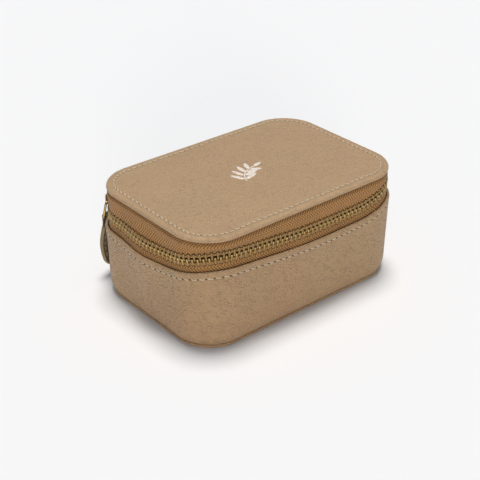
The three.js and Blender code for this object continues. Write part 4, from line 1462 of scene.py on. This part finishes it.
def pocket():
    """A gathered pocket under the lid: flat where it is sewn at its sides and back, ruffled at its mouth."""
    low, high = node_box("lid_pocket")
    wide, deep = high.x - low.x, high.y - low.y
    steps = 24

    def section(u):
        beside = max(POCKET_CORNER - min(u, 1 - u) * wide, 0.0)
        corner = POCKET_CORNER - math.sqrt(POCKET_CORNER**2 - beside**2)
        points = []
        for j in range(steps + 1):
            v = j / steps
            sewn = min(1.0, 6 * min(u, 1 - u), 5 * (1 - v))
            hang = sewn * (0.35 + GATHER_DEEP * gather(u) * (1 - v) ** 1.4)
            points.append((low.y + (deep - corner) * v, high.z - 0.05 - hang))
        return points + [(y, z - CLOTH) for y, z in reversed(points)]

    skin = band_across(section, low, high)
    cloth = piece(skin, "lid_pocket_cloth", "suede", "lid", "suede_lining", "lid_pocket")


def pocket_elastic():
    """The elastic along the pocket's mouth, pulled up with the cloth."""
    low, high = node_box("pocket_elastic")

    def section(u):
        sewn = min(1.0, 6 * min(u, 1 - u))
        middle = high.z - 0.3 - sewn * (0.35 + GATHER_DEEP * gather(u))
        front = low.y + 0.1 + 0.3 * sewn * gather(u)
        edge = ((front, 0.2), (front + 0.4, 0.28), (high.y - 0.2, 0.24), (high.y + 0.2, 0.16))
        return [(y, middle + h) for y, h in edge] + [(y, middle - h) for y, h in reversed(edge)]

    skin = band_across(section, low, high)
    piece(skin, "pocket_elastic_band", "elastic", "lid", "elastic", "pocket_elastic")


def hidden_boards():
    """The stiffeners and padding keep their own solids, and take their finishes."""
    nodes = {"board": ("base_floor_board", "base_wall_board", "lid_board"), "foam": ("base_wall_foam",)}
    for paint, names in nodes.items():
        for name in names:
            materials = bpy.data.objects[name].data.materials
            materials.clear()
            materials.append(PAINTS[paint])


# ------------------------------------------------------------------ camera, light and floor

CAMERA_PLACE = Vector((-273.37, -320.48, 260.56))
CAMERA_AZIMUTH = -39.887
CAMERA_ELEVATION = 29.95
CAMERA_LENS = 80.46

HORIZON_LIGHT = 0.19
ZENITH_LIGHT = 0.26
TENT_COLOR = (0.82, 0.97, 1.13)
LAMP_COLOR = (1.04, 1.0, 0.965)
# Each lamp's name, strength, and its width, tilt from overhead and turn in degrees.
LAMPS = (("top_lamp", 2.40, 21.0, -8.5, -40.0), ("front_lamp", 1.30, 22.0, 83.0, -36.0))
FLOOR_COLOR = (0.90, 0.90, 0.90)
FLOOR_HALF = 6.0  # in metres


def camera():
    """The view: from the left of the front, looking a little down."""
    azimuth, elevation = math.radians(CAMERA_AZIMUTH), math.radians(CAMERA_ELEVATION)
    back = Vector((
        math.sin(azimuth) * math.cos(elevation),
        -math.cos(azimuth) * math.cos(elevation),
        math.sin(elevation),
    ))
    right = Vector((math.cos(azimuth), math.sin(azimuth), 0.0))
    stand = Matrix((right, back.cross(right), back)).transposed().to_4x4()
    stand.translation = CAMERA_PLACE * MM
    data = bpy.data.cameras.new("camera")
    data.sensor_width = 36.0
    data.lens = CAMERA_LENS
    data.clip_start, data.clip_end = 0.01, 20.0
    obj = put("camera", data)
    obj.matrix_world = stand
    bpy.context.scene.camera = obj


def light_tent():
    """A white tent of light, with a broad soft lamp overhead and a low one beside the camera."""
    world = bpy.data.worlds.new("tent")
    bpy.context.scene.world = world
    world.use_nodes = True
    nodes, links = world.node_tree.nodes, world.node_tree.links
    place = nodes.new("ShaderNodeTexCoord")
    height = nodes.new("ShaderNodeSeparateXYZ")
    level = nodes.new("ShaderNodeMapRange")
    level.inputs["To Min"].default_value = HORIZON_LIGHT
    level.inputs["To Max"].default_value = ZENITH_LIGHT
    sky = nodes["Background"]
    sky.inputs["Color"].default_value = (*TENT_COLOR, 1.0)
    links.new(place.outputs["Generated"], height.inputs[0])
    links.new(height.outputs["Z"], level.inputs["Value"])
    links.new(level.outputs[0], sky.inputs["Strength"])
    for name, strength, softness, tilt, turn in LAMPS:
        lamp = bpy.data.lights.new(name, "SUN")
        lamp.energy = strength
        lamp.angle = math.radians(softness)
        lamp.color = LAMP_COLOR
        put(name, lamp).rotation_euler = (math.radians(tilt), 0.0, math.radians(turn))


def studio():
    """The plain floor."""
    mesh = bpy.data.meshes.new("studio_floor")
    h = FLOOR_HALF
    mesh.from_pydata([(-h, -h, 0), (h, -h, 0), (h, h, 0), (-h, h, 0)], [], [(0, 1, 2, 3)])
    mesh.materials.append(Paint("studio_floor", FLOOR_COLOR, 0.95, Specular_IOR_Level=0.0).material)
    put("studio_floor", mesh)


# ------------------------------------------------------------------ the object


camera()
light_tent()
studio()
bpy.context.scene.view_settings.view_transform = "Standard"

lid_panel()
seam("lid", lid_seam, 0.0, AROUND, LID_STITCH_PITCH, "lid", 0.74, hole=0.6)
foil_sprig()
base_wall()
seam("base", base_seam, 0.0, AROUND, STITCH_PITCH, "base", 0.68)
bottom_panel()
zip_tapes()
spine()
zip_teeth()
zip_stops()
slider_and_pull()
wall_lining()
floor_lining()
dividers()
for index in range(ROLLS):
    ring_roll(index)
lid_lining()
pocket()
pocket_elastic()
hidden_boards()
